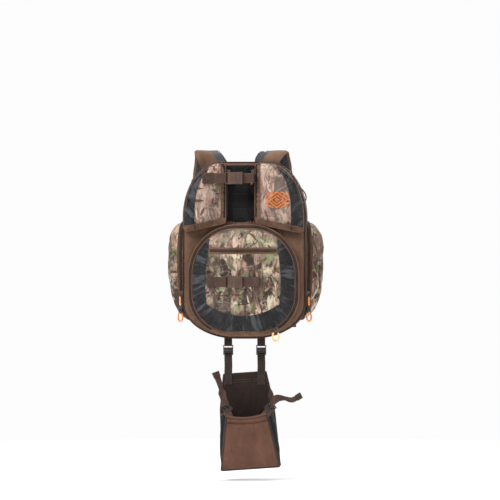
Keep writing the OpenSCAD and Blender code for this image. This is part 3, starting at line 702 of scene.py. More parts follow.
def teeth(build, path, out, mat, pitch=2.0, wide=2.8, proud=0.5):
    """The two rows of a coil zip along a path; out, one for all or one a point, leaves the fabric."""
    line = resample(path, pitch / 2)
    out = np.atleast_2d(np.asarray(out, float))
    places = np.linspace(0, len(out) - 1, len(line))
    out = np.stack([np.interp(places, np.arange(len(out)), out[:, k]) for k in range(3)], 1)
    t = unit(np.gradient(line, axis=0))
    o = unit(out - t * (t * out).sum(1, keepdims=True))
    s = np.cross(o, t)
    turn = np.where(np.arange(len(line)) % 2 == 0, 1.0, -1.0)[:, None]
    centre = line + s * turn * wide * 0.22 + o * proud
    corners = [(a, b, -0.6) for a, b in ((-1, -1), (1, -1), (1, 1), (-1, 1))]
    corners += [(0.8 * a, 0.5 * b, 0.7) for a, b, _ in corners]
    shell = [(0, 3, 2, 1), (4, 5, 6, 7), (0, 1, 5, 4), (1, 2, 6, 5), (2, 3, 7, 6), (3, 0, 4, 7)]
    verts = np.stack([centre + s * a * wide * 0.36 + t * b * pitch * 0.21 + o * c * 0.8
                      for a, b, c in corners], 1)
    faces = [tuple(8 * i + k for k in f) for i in range(len(line)) for f in shell]
    build.add(verts.reshape(-1, 3), faces, mat)


def zip_run(build, path, out, tape, mats=(0, 1)):
    """A zip: tape with its coil; out points away from the fabric."""
    line = np.asarray(path, float)
    out = np.broadcast_to(np.asarray(out, float), line.shape)
    side = np.cross(out, unit(np.gradient(line, axis=0)))
    build.add(*sweep(line, flat(tape, 0.9), side), mats[0])
    teeth(build, line, out, mats[1])


def profile(*stops):
    """Height against distance from the edge, with its corners eased."""
    d = np.arange(0, 161, 0.5)
    h = np.interp(d, *zip(*stops))
    core = np.exp(-np.linspace(-2, 2, 7) ** 2)
    eased = np.convolve(np.concatenate([np.full(3, h[0]), h, np.full(3, h[-1])]), core / core.sum(), "valid")
    eased[0] = h[0]
    return d, eased


def nearest(points, marks):
    """Distance of each point from the nearest mark."""
    return np.concatenate([np.sqrt(((part[:, None] - marks[None]) ** 2).sum(2)).min(1)
                           for part in np.array_split(points, 20)])


def pouch(outline, seams, label, shape, wall, spacing=4.5, groove=1.2, width=3.0, bow=0.0):
    """A crowned cap over a convex outline, cut along its seams, and the wall round it.
    Gives points (across, height, up), faces, a label for each face, and each point's distance from a seam
    and from the outline."""
    ring = resample(outline, spacing, True)
    points, links, marks = list(ring), [(i, (i + 1) % len(ring)) for i in range(len(ring))], [ring]
    for line, closed, sewn in seams:
        made = resample(line, spacing, closed)
        made = made[depth_in(outline, made) > 0.3]
        start = len(points)
        points.extend(made)
        links += [(start + i, start + i + 1) for i in range(len(made) - 1)]
        if closed:
            links.append((start + len(made) - 1, start))
        marks.append(made)
    lo, hi = ring.min(0), ring.max(0)
    step = spacing * 0.87
    grid = np.array([(x + (j % 2) * spacing / 2, z) for j, z in enumerate(np.arange(lo[1], hi[1], step))
                     for x in np.arange(lo[0], hi[0], spacing)])
    grid = grid[depth_in(outline, grid) > spacing * 0.5]
    lines = np.vstack(marks)
    points.extend(grid[nearest(grid, lines) > spacing * 0.55])
    loose = [Vector(p) for p in points]
    meshed, _, faces, _, _, _ = delaunay_2d_cdt(loose, links, [list(range(len(ring)))], 1, 1e-4)
    at = np.array([tuple(v) for v in meshed])
    depth = depth_in(outline, at).clip(0)
    height = np.interp(depth, *shape)
    sewn = [resample(line, 1.5, closed) for line, closed, tight in seams if tight]
    away = np.full(len(at), 99.0)
    if sewn:
        away = nearest(at, np.vstack(sewn))
        height = height - groove * np.exp(-(away / width) ** 2) * np.clip(depth / 6, 0, 1)
    middle = np.array([at[list(f)].mean(0) for f in faces])
    which = label(middle[:, 0], middle[:, 1], depth_in(outline, middle))
    verts = np.stack([at[:, 0], height, at[:, 1]], 1)
    faces = [tuple(f) for f in faces]
    centre = ring.mean(0)
    base, n = len(verts), len(ring)
    levels = []
    for w in wall:
        swell = bow * math.sin(math.pi * np.clip(w / max(wall[-1], 1), 0, 1))
        grown = ring + unit(ring - centre) * swell
        levels.append(standing(grown, w))
    verts = np.vstack([verts] + levels)
    faces += wall_faces(base, len(wall) - 1, n)
    which = list(which) + [-1] * (n * (len(wall) - 1))
    away = np.concatenate([away, np.zeros(n * len(wall))])
    depth = np.concatenate([depth, np.full(n * len(wall), -1.0)])
    return verts, faces, which, away, depth


def push(piece, heights):
    """Moves each point along its normal; heights takes places in metres and gives millimetres."""
    mesh = piece.data
    count = len(mesh.vertices)
    co, no = np.empty(count * 3), np.empty(count * 3)
    mesh.vertices.foreach_get("co", co)
    mesh.vertex_normals.foreach_get("vector", no)
    co, no = co.reshape(-1, 3), no.reshape(-1, 3)
    co += no * (heights(co) * MM)[:, None]
    mesh.vertices.foreach_set("co", co.ravel())
    mesh.update()


def wrinkle(piece, amount, scale, fine=0.35, keep=lambda c: 0.0):
    """Small creases; keep is 1 where the fabric is sewn down."""
    def heights(co):
        step = scale * MM
        wave = [noise.noise(Vector(c) / step) + fine * noise.noise(Vector(c[::-1]) / (0.4 * step))
                for c in co]
        return amount * np.array(wave) * (1 - keep(co / MM))

    push(piece, heights)


def pucker(piece, depth, start, amount):
    """Gathers that run in from the sewn edge, where the fabric is eased onto it."""
    fade = np.clip((depth - start) / 5, 0, 1) * np.exp(-np.clip(depth - start - 8, 0, None) / 14)

    def heights(co):
        a, b = sorted(np.argsort(np.ptp(co, axis=0))[1:])
        seen = (co - (co.max(0) + co.min(0)) / 2)[:, [a, b]]
        reach = np.maximum(np.linalg.norm(seen, axis=1), 1e-6)
        wave = [noise.noise(Vector((9 * x / r, 9 * z / r, 14 * r))) for (x, z), r in zip(seen, reach)]
        return amount * fade * np.array(wave)

    push(piece, heights)


def puff(piece, sewn, pressure, frames=14, cap=5.0):
    """Blows the piece up as cloth, by cap millimetres at most. sewn is 1 where a point is sewn down."""
    mesh = piece.data
    count = len(mesh.vertices)
    before = np.empty(count * 3)
    mesh.vertices.foreach_get("co", before)
    before = before.reshape(-1, 3)
    work = bpy.data.objects.new("work", mesh.copy())
    scene.collection.objects.link(work)
    group = work.vertex_groups.new(name="sewn")
    for i, w in enumerate(sewn):
        if w > 0.02:
            group.add([i], float(w), "REPLACE")
    modifier = work.modifiers.new("cloth", "CLOTH")
    made = modifier.settings
    made.quality = 4
    made.mass = 0.2
    made.tension_stiffness, made.compression_stiffness, made.shear_stiffness = 14, 10, 6
    made.bending_stiffness = 0.4
    made.vertex_group_mass = "sewn"
    made.use_pressure = True
    made.uniform_pressure_force = pressure
    made.effector_weights.gravity = 0
    modifier.point_cache.frame_start, modifier.point_cache.frame_end = 1, frames
    for step in range(1, frames + 1):
        scene.frame_set(step)
    result = work.evaluated_get(bpy.context.evaluated_depsgraph_get())
    after = np.empty(count * 3)
    result.to_mesh().vertices.foreach_get("co", after)
    move = after.reshape(-1, 3) - before
    size = np.linalg.norm(move, axis=1, keepdims=True)
    move *= np.minimum(1, cap * MM / np.maximum(size, 1e-9))
    mesh.vertices.foreach_set("co", (before + np.nan_to_num(move)).ravel())
    mesh.update()
    result.to_mesh_clear()
    bpy.data.objects.remove(work)
    scene.frame_set(1)


def refine(piece):
    made = piece.modifiers.new("fine", "SUBSURF")
    made.levels = made.render_levels = 1
    made.boundary_smooth = "PRESERVE_CORNERS"


def surface(piece):
    """A tree for finding places on a piece, modifiers included."""
    bpy.context.view_layer.update()
    return BVHTree.FromObject(piece, bpy.context.evaluated_depsgraph_get())


def drop(tree, start, way, lift=0.0):
    """Points and normals where rays from start along way meet a surface, in millimetres."""
    places, normals = [], []
    way = Vector(way)
    start = np.asarray(start, float)
    if start.shape[1] == 2:
        start = np.stack([start[:, 0], np.zeros(len(start)), start[:, 1]], 1)
    for p in start:
        hit, normal, _, _ = tree.ray_cast(Vector(p * MM) - way * 0.3, way)
        if hit is None:
            continue
        normal = normal if normal.dot(way) < 0 else -normal
        places.append(np.array(hit) / MM + np.array(normal) * lift)
        normals.append(np.array(normal))
    return np.array(places), np.array(normals)


def smoothed(values, turns=2):
    v = np.array(values, float)
    for _ in range(turns):
        v[1:-1] = (v[:-2] + 2 * v[1:-1] + v[2:]) / 4
    return v


def piping(build, tree, line, way, r, mat, lift=0.0, step=3.0, closed=False):
    """A round cord laid on a surface along a line seen along way."""
    places, normals = drop(tree, resample(line, step, closed), way, lift)
    if len(places) > 2:
        build.add(*sweep(smoothed(places), disc(r), unit(smoothed(normals)), closed), mat)
    return places, normals


def seam(build, tree, line, way, mat, lift=0.25, step=2.0, closed=False, size=0.8):
    places, normals = drop(tree, resample(line, step, closed), way, lift)
    if len(places) > 2:
        stitches(build, places, normals, mat, size=size)


def bevelled(node, mat, slot, width=0.5):
    """A CAD piece with its edges rounded as moulding leaves them."""
    source = frame["nodes"][node]
    mesh = source.data.copy()
    mesh.transform(source.matrix_world)
    shape = bmesh.new()
    shape.from_mesh(mesh)
    bmesh.ops.remove_doubles(shape, verts=shape.verts, dist=1e-5)
    bmesh.ops.dissolve_limit(shape, angle_limit=0.02, verts=shape.verts, edges=shape.edges)
    sharp = [e for e in shape.edges if len(e.link_faces) == 2 and e.calc_face_angle(0) > 0.5]
    bmesh.ops.bevel(shape, geom=sharp, offset=width * MM, segments=2, profile=0.6, affect="EDGES",
                    clamp_overlap=True)
    shape.to_mesh(mesh)
    shape.free()
    mesh.materials.clear()
    mesh.materials.append(mat)
    mesh.shade_smooth()
    mesh.set_sharp_from_angle(angle=math.radians(35))
    piece = bpy.data.objects.new(node + "_moulded", mesh)
    scene.collection.objects.link(piece)
    return settle(piece, BODY_OF[node], slot, [node])

# ---------------------------------------------------------------- pockets

FRONT = (0, 1, 0)
PANEL = -142.0


def fronted(plane):
    return lambda v: np.stack([v[:, 0], plane - v[:, 1], v[:, 2]], 1)


def make_pouch(name, outline, seams, label, shape, wall, place, mats, body, nodes, hold, press, bow):
    """A pocket's shell, blown up as cloth and creased. hold is how far in its edge is sewn down."""
    verts, faces, which, away, depth = pouch(outline, seams, label, shape, wall, bow=bow)
    build = Build().add(place(verts), faces, [w if w >= 0 else len(mats) - 1 for w in which])
    piece = build.make(name, mats, body, "camo_fabric", nodes, sharp=65)
    co = np.empty(len(piece.data.vertices) * 3)
    piece.data.vertices.foreach_get("co", co)
    co = co.reshape(-1, 3) / MM
    source = place(verts)
    near = np.array([np.argmin(((source - c) ** 2).sum(1)) for c in co])
    sewn = np.where(depth[near] < hold, 1.0, np.exp(-(away[near] / 2.6) ** 2) * 0.9)
    puff(piece, sewn, press)
    wrinkle(piece, 2.8, 44, keep=lambda c: sewn * 0.8)
    wrinkle(piece, 1.1, 19, keep=lambda c: sewn * 0.8)
    pucker(piece, depth[near], hold, 5.5)
    refine(piece)
    return piece


def mirrored(line):
    return [(-x, z) for x, z in line]


# lower front pocket
ARCH = four_arcs(POCKET_UPPER, POCKET_LOWER, 0)
LOWER = profile((0, 20), (0.6, 22.3), (2, 23.6), (4, 24), (10, 24), (11, 25.5), (13, 31), (17, 37), (24, 42),
                (34, 46), (48, 48.5), (70, 49.6), (160, 50))
camo_edge = [(86, 178), (89, 150), (94, 109), (95.5, 70), (95, 40), (92.5, 16)]
camo_foot = [(92.5, 16), (72, 4), (48, -6), (24, -12), (0, -14)]
camo_side = smooth(camo_edge, 4)
camo_low = smooth(camo_foot, 4)
camo_panel = np.vstack([[(84, 214)], camo_side, camo_low[1:], np.array(mirrored(camo_low[::-1]))[1:],
                        np.array(mirrored(camo_side[::-1]))[1:], [(-84, 214)]])
corner_seam = [(92.5, 16), (99, 2), (107, -14), (118, -36)]
BAND_LOW, BAND_HIGH = 143.0, 160.0


def camo_half(z):
    return np.interp(z, [p[1] for p in camo_edge[::-1]], [p[0] for p in camo_edge[::-1]])


def lower_label(x, z, d):
    foot = np.interp(np.abs(x), [p[0] for p in camo_foot[::-1]], [p[1] for p in camo_foot[::-1]])
    inside = (np.abs(x) < camo_half(z)) & (z > foot)
    band = inside & (z > BAND_LOW) & (z < BAND_HIGH)
    zone = np.where(inside, 0, 1)
    zone = np.where(band, 2, zone)
    return np.where(d < 11.2, 2, zone)


lower_seams = [
    (shrink(ARCH, 2.4), True, False), (shrink(ARCH, 9.6), True, False), (shrink(ARCH, 11.2), True, True),
    (camo_side, False, True), (mirrored(camo_side), False, True),
    (camo_low, False, True), (mirrored(camo_low), False, True),
    ([(-88.6, BAND_LOW), (88.6, BAND_LOW)], False, True),
    ([(-87.4, BAND_HIGH), (87.4, BAND_HIGH)], False, True),
    (corner_seam, False, True), (mirrored(corner_seam), False, True)]
lower = make_pouch(
    "lower_pocket_shell", ARCH, lower_seams, lower_label, LOWER, [-5, 0, 7, 14, 20], fronted(PANEL),
    [CAMO, CRINKLED, BROWN], "front_panel", ["front_pocket"], 11.5, 3.0, 0.8)
lower_tree = surface(lower)

trim = Build()
ring = shrink(ARCH, 11.0)
piping(trim, lower_tree, ring, FRONT, 1.7, 0, 0.3, closed=True)
piping(trim, lower_tree, shrink(ARCH, 1.6), FRONT, 1.5, 0, 0.2, closed=True)
for line in (camo_side, mirrored(camo_side), camo_low, mirrored(camo_low)):
    piping(trim, lower_tree, line, FRONT, 0.8, 1, 0.1)
for line in (corner_seam, mirrored(corner_seam)):
    piping(trim, lower_tree, line, FRONT, 0.7, 1, 0.0)
    seam(trim, lower_tree, np.array(line) + (2.6, 1.0), FRONT, 2)
for off in (2.8, -2.8):
    seam(trim, lower_tree, camo_side + (off, 0), FRONT, 2 if off > 0 else 3)
    seam(trim, lower_tree, np.array(mirrored(camo_side)) - (off, 0), FRONT, 2 if off > 0 else 3)
seam(trim, lower_tree, camo_low + (0, 2.6), FRONT, 3)
seam(trim, lower_tree, np.array(mirrored(camo_low)) + (0, 2.6), FRONT, 3)
for z in (BAND_LOW + 2.4, BAND_HIGH - 2.4):
    seam(trim, lower_tree, [(-86, z), (86, z)], FRONT, 3)
seam(trim, lower_tree, shrink(ARCH, 13.8), FRONT, 2, closed=True)
trim.make("lower_pocket_trim", [BROWN, BLACK, BLACK_THREAD, THREAD], "front_panel", "brown_fabric", weld=0)

# a zipped slot across the lower pocket's camouflage panel
slot_zip = Build()
row = [(x, 0, (BAND_LOW + BAND_HIGH) / 2) for x in np.linspace(-84, 84, 60)]
places, _ = drop(lower_tree, row, FRONT, 0.7)
zip_run(slot_zip, smoothed(places), (0, -1, 0), 7)
slot_zip.make("lower_pocket_slot_zip", [DARK_BROWN, COIL], "front_panel", "zip_coil", weld=0)

# the lower pocket's own zip, round its arch
track = Build()
ring = resample(shrink(ARCH, 6), 3, True)
order = np.argsort((np.arctan2(ring[:, 0], -(ring[:, 1] - 70)) + 2 * math.pi) % (2 * math.pi))
ring = ring[order]
ring = ring[(np.abs(ring[:, 0]) > 80) | (ring[:, 1] > 0)]
places, _ = drop(lower_tree, [(x, 0, z) for x, z in ring], FRONT, 0.6)
zip_run(track, smoothed(places), (0, -1, 0), 7.2)
track.make("lower_pocket_zip", [DARK_BROWN, COIL], "front_panel", "zip_coil", ["front_zip"], weld=0)

# upper pockets
UPPER = profile((0, 20), (0.6, 22), (2, 23.3), (5, 25), (9, 28.5), (14, 33.5), (20, 38.5), (28, 42.5),
                (40, 45.2), (60, 46), (160, 46))
for side, inner in ((1, 28.0), (-1, 44.0)):
    tag = "right" if side > 0 else "left"
    outline = upper_outline(inner)

    def flip(v, side=side):
        return np.stack([v[:, 0] * side, PANEL - v[:, 1], v[:, 2]], 1)

    edge = smooth([(78, 372), (88, 354), (102, 331), (112, 303), (117, 268), (118, 236), (116, 198)], 4)
    band_in = inner + (15.0 if side > 0 else 13.0)
    edge = edge + (4.0 if side > 0 else 6.0, 0)
    slope = math.tan(math.radians(12))

    def foot(x, inner=inner):
        return 220 - (x - inner) * slope + 15.5

    corner = arc(band_in + 14, foot(band_in + 14) + 14, 14, 14, 180, 258, 6)
    band = np.vstack([[(band_in, 380)], corner, [(x, foot(x)) for x in (90, 118, 160)]])
    band = resample(band, 4)

    def label(x, z, d, inner=inner, edge=edge, band_in=band_in, foot=foot):
        low = foot(x)
        near = (x < band_in + 14) & (z < foot(band_in + 14) + 14)
        round_off = near & (np.hypot(x - band_in - 14, z - foot(band_in + 14) - 14) > 14)
        brown = (x < band_in) | (z < low) | round_off
        out = x > np.interp(z, edge[::-1, 1], edge[::-1, 0])
        wall = (d < 6.5) & (x < band_in) & (z > foot(x) + 1)
        return np.where(wall, 3, np.where(brown, 2, np.where(out, 1, 0)))

    seams = [(shrink(outline, 2.0), True, False), (shrink(outline, 6.5), True, False), (edge, False, True),
             (band, False, True)]
    piece = make_pouch(
        "upper_pocket_shell_" + tag, outline, seams, label, UPPER, [-5, 0, 7, 14, 20], flip,
        [CAMO, CRINKLED, BROWN, DEEP_BLACK], "front_panel", ["top_pocket_" + tag], 1.5, 3.0, 0.8)
    tree = surface(piece)
    trim = Build()

    def seen(line, side=side):
        return [(x * side, 0, z) for x, z in np.asarray(line, float)]

    piping(trim, tree, seen(shrink(outline, 1.4)), FRONT, 1.4, 0, 0.1, closed=True)
    piping(trim, tree, seen(edge), FRONT, 1.1, 1, 0.2)
    piping(trim, tree, seen(band), FRONT, 1.1, 0, 0.1)
    for off, mat in ((2.8, 2), (-2.8, 3)):
        seam(trim, tree, seen(edge + (off, 0)), FRONT, mat)
    seam(trim, tree, seen(shrink(outline, 5)), FRONT, 3, closed=True)
    seam(trim, tree, seen(band - (2.6, 2.0)), FRONT, 3)
    trim.make("upper_pocket_trim_" + tag, [BROWN, BLACK, BLACK_THREAD, THREAD], "front_panel",
              "brown_fabric", weld=0)
    lo, hi = cad("top_zip_" + tag)
    x = hi[0] - 1.1 if side > 0 else lo[0] + 1.1
    y = (lo[1] + hi[1]) / 2
    zips = Build()
    line = [(x, y, z) for z in np.linspace(lo[2], hi[2], 30)]
    zip_run(zips, line, (-side, 0, 0), 7)
    zips.make("upper_pocket_zip_" + tag, [DARK_BROWN, COIL], "front_panel", "zip_coil",
              ["top_zip_" + tag], weld=0)
    if side > 0:
        upper_right = tree

# side pockets, domed away from the bag's sides
SIDE = profile((0, 14), (0.8, 16), (3, 20), (7, 26), (12, 32), (18, 37.5), (25, 41.5), (32, 43.8), (40, 44.6))


def bag_half(z):
    """Half width of the bag at a height."""
    def half(x, middle, rx, rz):
        return x + rx * np.sqrt(np.clip(1 - ((z - middle) / rz) ** 2, 0, 1))

    level = np.where(z < BAG_LOWER[1], half(*BAG_LOWER), float(BAG_UPPER[0] + BAG_UPPER[2]))
    return np.where(z > BAG_UPPER[1], half(*BAG_UPPER), level)


BULGE = [(-22, 6), (-3, 19), (16, 28), (45, 36), (80, 42), (120, 45), (160, 44), (191, 39), (216, 30),
         (226, 16)]


def rise(z):
    """Share of its full depth that a side pocket has at a height."""
    out = 155 + np.interp(z, [p[0] for p in BULGE], [p[1] for p in BULGE])
    return np.clip((out - bag_half(z) + 0.8) / 44.6, 0.3, 1.0)


side_box = rounded(round_box(-98, -24, -20, 226, 26), 24)
for side in (1, -1):
    tag = "right" if side > 0 else "left"

    def place(v, side=side):
        height = v[:, 1] * rise(v[:, 2])
        return np.stack([side * (bag_half(v[:, 2]) - 0.8 + height), v[:, 0], v[:, 2]], 1)

    def label(u, z, d):
        return np.where(d < 1.2, 1, 0)

    seams = [(shrink(side_box, 1.2), True, False)]
    piece = make_pouch(
        "side_pocket_shell_" + tag, side_box, seams, label, SIDE, [-1, 4, 9, 14], place,
        [CAMO, BROWN], "pack", ["side_pocket_" + tag], 1.3, 3.5, 0.6)
    tree = surface(piece)
    trim = Build()
    out = (-side, 0, 0)
    ring = [(0, y, z) for y, z in shrink(side_box, 1.4)]
    piping(trim, tree, ring, out, 1.5, 0, 0.2, closed=True)
    seam(trim, tree, [(0, y, z) for y, z in shrink(side_box, 5)], out, 1, closed=True)
    root = resample(side_box, 4, True)
    base = np.stack([side * (bag_half(root[:, 1]) + 1.2), root[:, 0], root[:, 1]], 1)
    tube(trim, base, 1.5, 0, closed=True, side=(1, 0, 0))
    trim.make("side_pocket_trim_" + tag, [BROWN, THREAD], "pack", "brown_fabric", weld=0)
    zips = Build()
    loop = resample(rounded(side_box, 12), 4, True)
    run = loop[(loop[:, 0] < -62) | (loop[:, 1] > 190) & (loop[:, 0] < -30)]
    order = np.argsort(np.arctan2(run[:, 1] - 101, run[:, 0] + 20) % (2 * math.pi))
    run = run[order]
    line = np.stack([side * (bag_half(run[:, 1]) + 8.8 * rise(run[:, 1])), run[:, 0], run[:, 1]], 1)
    line = line + unit(line - (side * 163, -59, 101)) * (0, 1, 1) * 0.4
    zip_run(zips, smoothed(line), unit((line - (side * 163, -59, 101)) * (0, 1, 1)), 7)
    zips.make("side_pocket_zip_" + tag, [DARK_BROWN, COIL], "pack", "zip_coil", ["side_zip_" + tag], weld=0)

# ---------------------------------------------------------------- the bag's two shells

def shell(name, floor, rim, mats, body, slot, node, bow, ease, label):
    """A lined tray with the bag's outline; floor is its closed face's plane and rim its open one."""
    way = 1 if floor > rim else -1
    soft = profile((0, 0), (0.8, 2.6), (2.4, 4.4), (5, 5.6), (9, 6), (160, 6 + ease))
    verts, faces, which, _, _ = pouch(bag_outline(), [], label, soft, [0], spacing=7)
    verts[:, 1] = floor - way * (6 - verts[:, 1])
    build = Build().add(verts, faces, which)
    ring = resample(bag_outline(), 7, True)
    centre = np.array([0, 150])
    n = len(ring)
    levels, marks = [], []
    for i, y in enumerate(np.linspace(floor - way * 6, rim, 9)):
        grown = ring + unit(ring - centre) * bow * math.sin(math.pi * i / 8)
        levels.append((grown, y))
        marks.append(1)
    for inset, y in ((1.0, rim), (3.6, rim + way * 0.6), (3.8, (rim + floor) / 2), (3.8, floor - way * 3.9)):
        levels.append((ring - unit(ring - centre) * inset, y))
        marks.append(2)
    verts = np.vstack([standing(r, y) for r, y in levels])
    build.add(verts, wall_faces(0, len(levels) - 1, n), [mark for mark in marks[1:] for _ in range(n)])
    last = (len(levels) - 1) * n
    middle = (0, levels[-1][1], 150)
    build.add(np.vstack([verts[last:], [middle]]), [(i, (i + 1) % n, n) for i in range(n)], 2)
    piece = build.make(name, mats, body, slot, [node], weld=0.05, sharp=60)
    wrinkle(piece, 1.1, 52, keep=lambda c: np.clip(1 - (np.abs(c[:, 1] - rim) - 2) / 8, 0, 1))


def channel_floor(x, z, d):
    """Black where the rifle channel is, 8 mm to the left of the middle; this near-black is partly the
    fabric's own and partly painted shade of the recess behind the rifle.
    """
    return np.where((np.abs(x + 8) < 43) & (z > 226) & (d > 6), 3, 0)


shell("back_shell_fabric", -12, -116, [BLACK, BROWN, LINING], "pack", "black_fabric", "back_shell",
      1.6, 0, plain)
shell("front_shell_fabric", PANEL, -116.3, [BROWN, BROWN, LINING, DEEP_BLACK], "front_panel", "brown_fabric",
      "front_shell", 0.8, 0.6, channel_floor)
frame["nodes"]["frame_sheet"].data.materials.clear()
frame["nodes"]["frame_sheet"].data.materials.append(SHEET_PLASTIC)

edging = Build()
ring = resample(bag_outline(), 4, True)
outward = unit(ring - (0, 150))
for y, grow, sew_y, sew_grow in ((-16.5, -0.2, -21.5, 0.7), (-112.5, 0.4, -107.5, 0.9)):
    tube(edging, standing(ring + outward * grow, y), 1.6, 0, closed=True)
    stitches(edging, standing(ring + outward * sew_grow, sew_y), standing(outward, 0), 1, closed=True)
edging.make("back_shell_piping", [BLACK, THREAD], "pack", "black_fabric", weld=0)
edging = Build()
tube(edging, standing(ring * (0.996, 1), -139.4), 1.5, 0, closed=True)
edging.make("front_shell_piping", [DARK_BROWN], "front_panel", "brown_fabric", weld=0)

# main zip, round the bag between its shells
zips = Build()
ring = resample(bag_outline(-0.9), 3, True)
order = np.argsort((np.arctan2(ring[:, 0], -(ring[:, 1] - 120)) + 2 * math.pi) % (2 * math.pi))
ring = ring[order]
ring = ring[ring[:, 1] > 10]
zip_run(zips, standing(ring, -113.8), unit(standing(ring - (0, 150), 0)), 7)
zips.make("main_zip_run", [BLACK, COIL], "pack", "zip_coil", ["main_zip"], weld=0)

# padded lining of the rifle channel; its near-black is partly the fabric's own and partly painted shade of
# the recess behind the rifle
lo, hi = cad("channel_pad")
box_line = round_box(lo[0], lo[2], hi[0], hi[2], 8)
quilt = [([(lo[0], z), (hi[0], z)], False, True) for z in (258, 296, 334)]
soft = profile((0, 0), (1, 1.6), (4, 2.2), (10, 2.5), (160, 2.5))
verts, faces, _, _, _ = pouch(box_line, quilt, plain, soft, [-1, 0], spacing=3.5, groove=1.6, width=2.4)
lining = Build().add(fronted(PANEL + 0.4)(verts), faces, 0)
for line, _, _ in quilt:
    row = [(x, PANEL - 1.9, line[0][1]) for x in np.linspace(lo[0] + 2, hi[0] - 2, 12)]
    stitches(lining, row, (0, -1, 0), 1)
piece = lining.make("channel_lining", [DEEP_BLACK, BLACK_THREAD], "front_panel", "brown_fabric",
                    ["channel_pad"])

# ---------------------------------------------------------------- back pads and harness

def back_pad(name, outline, nodes, channels):
    soft = profile((0, 1.5), (0.8, 4.5), (3, 8), (7, 10.6), (12, 11.7), (18, 12), (160, 12))
    verts, faces, which, _, _ = pouch(outline, [(c, False, True) for c in channels],
                                      lambda x, z, d: np.where(d < 5, 1, 0), soft, [0, 1.5], spacing=4.2,
                                      groove=3.4, width=4.0)
    build = Build().add(np.stack([verts[:, 0], -12.4 + verts[:, 1], verts[:, 2]], 1), faces,
                        [w if w >= 0 else 1 for w in which])
    piece = build.make(name, [MESH, BLACK], "pack", "mesh_fabric", nodes)
    refine(piece)
    trim = Build()
    tree = surface(piece)
    seam(trim, tree, shrink(outline, 3.4), (0, -1, 0), 0, closed=True)
    piping(trim, tree, shrink(outline, 5.0), (0, -1, 0), 1.0, 1, 0.1, closed=True)
    trim.make(name + "_trim", [BLACK_THREAD, BLACK], "pack", "black_fabric", weld=0)


right_pad = round_box(16, 70, 100, 300, 25)
left_pad = (right_pad * (-1, 1))[::-1]
rows = (128, 186, 244)
back_pad("back_pad_right", right_pad, ["back_pads"], [[(10, z), (106, z)] for z in rows])
back_pad("back_pad_left", left_pad, [], [[(-106, z), (-10, z)] for z in rows])
back_pad("lumbar_cushion", round_box(-90, -45, 90, 45, 25), ["lumbar_pad"],
         [[(x, -50), (x, 50)] for x in (-30, 30)])

STRAP_LOW = [(112, 68, 278), (112, 68, 200), (108, 62, 150), (104, 50, 100), (106, 36, 56)]
STRAP_TOP = {
    "right": [(62, -4.2, 318), (62, -4.2, 346), (52, 3, 378), (68, 12, 397), (76, 42, 402), (80, 58, 372),
              (84, 65, 340)],
    "left": [(66, -4.2, 318), (70, -4.2, 346), (88, 3, 378), (102, 12, 397), (104, 42, 402), (106, 58, 372),
             (110, 65, 340)]}
STRAP_SIDE = [(1, 0, 0), (1, 0, 0), (1, 0, 0.1), (1, -0.3, 0.1), (1, -0.5, 0), (1, -0.2, 0)] + [(1, 0, 0)] * 6


def strap_section(w, t):
    """Side and out points of a padded strap; the lining side is +out."""
    pts = []
    for x in np.linspace(-1, 1, 11):
        pts.append((x * (w - 4.5), -t * (0.55 + 0.45 * math.cos(x * 1.25))))
    pts += [(w - 1.2, -t * 0.35), (w, 0), (w - 1.2, t * 0.35)]
    for x in np.linspace(1, -1, 11):
        pts.append((x * (w - 4.5), t * (0.55 + 0.45 * math.cos(x * 1.25))))
    pts += [(-w + 1.2, t * 0.35), (-w, 0), (-w + 1.2, -t * 0.35)]
    return np.array(pts)


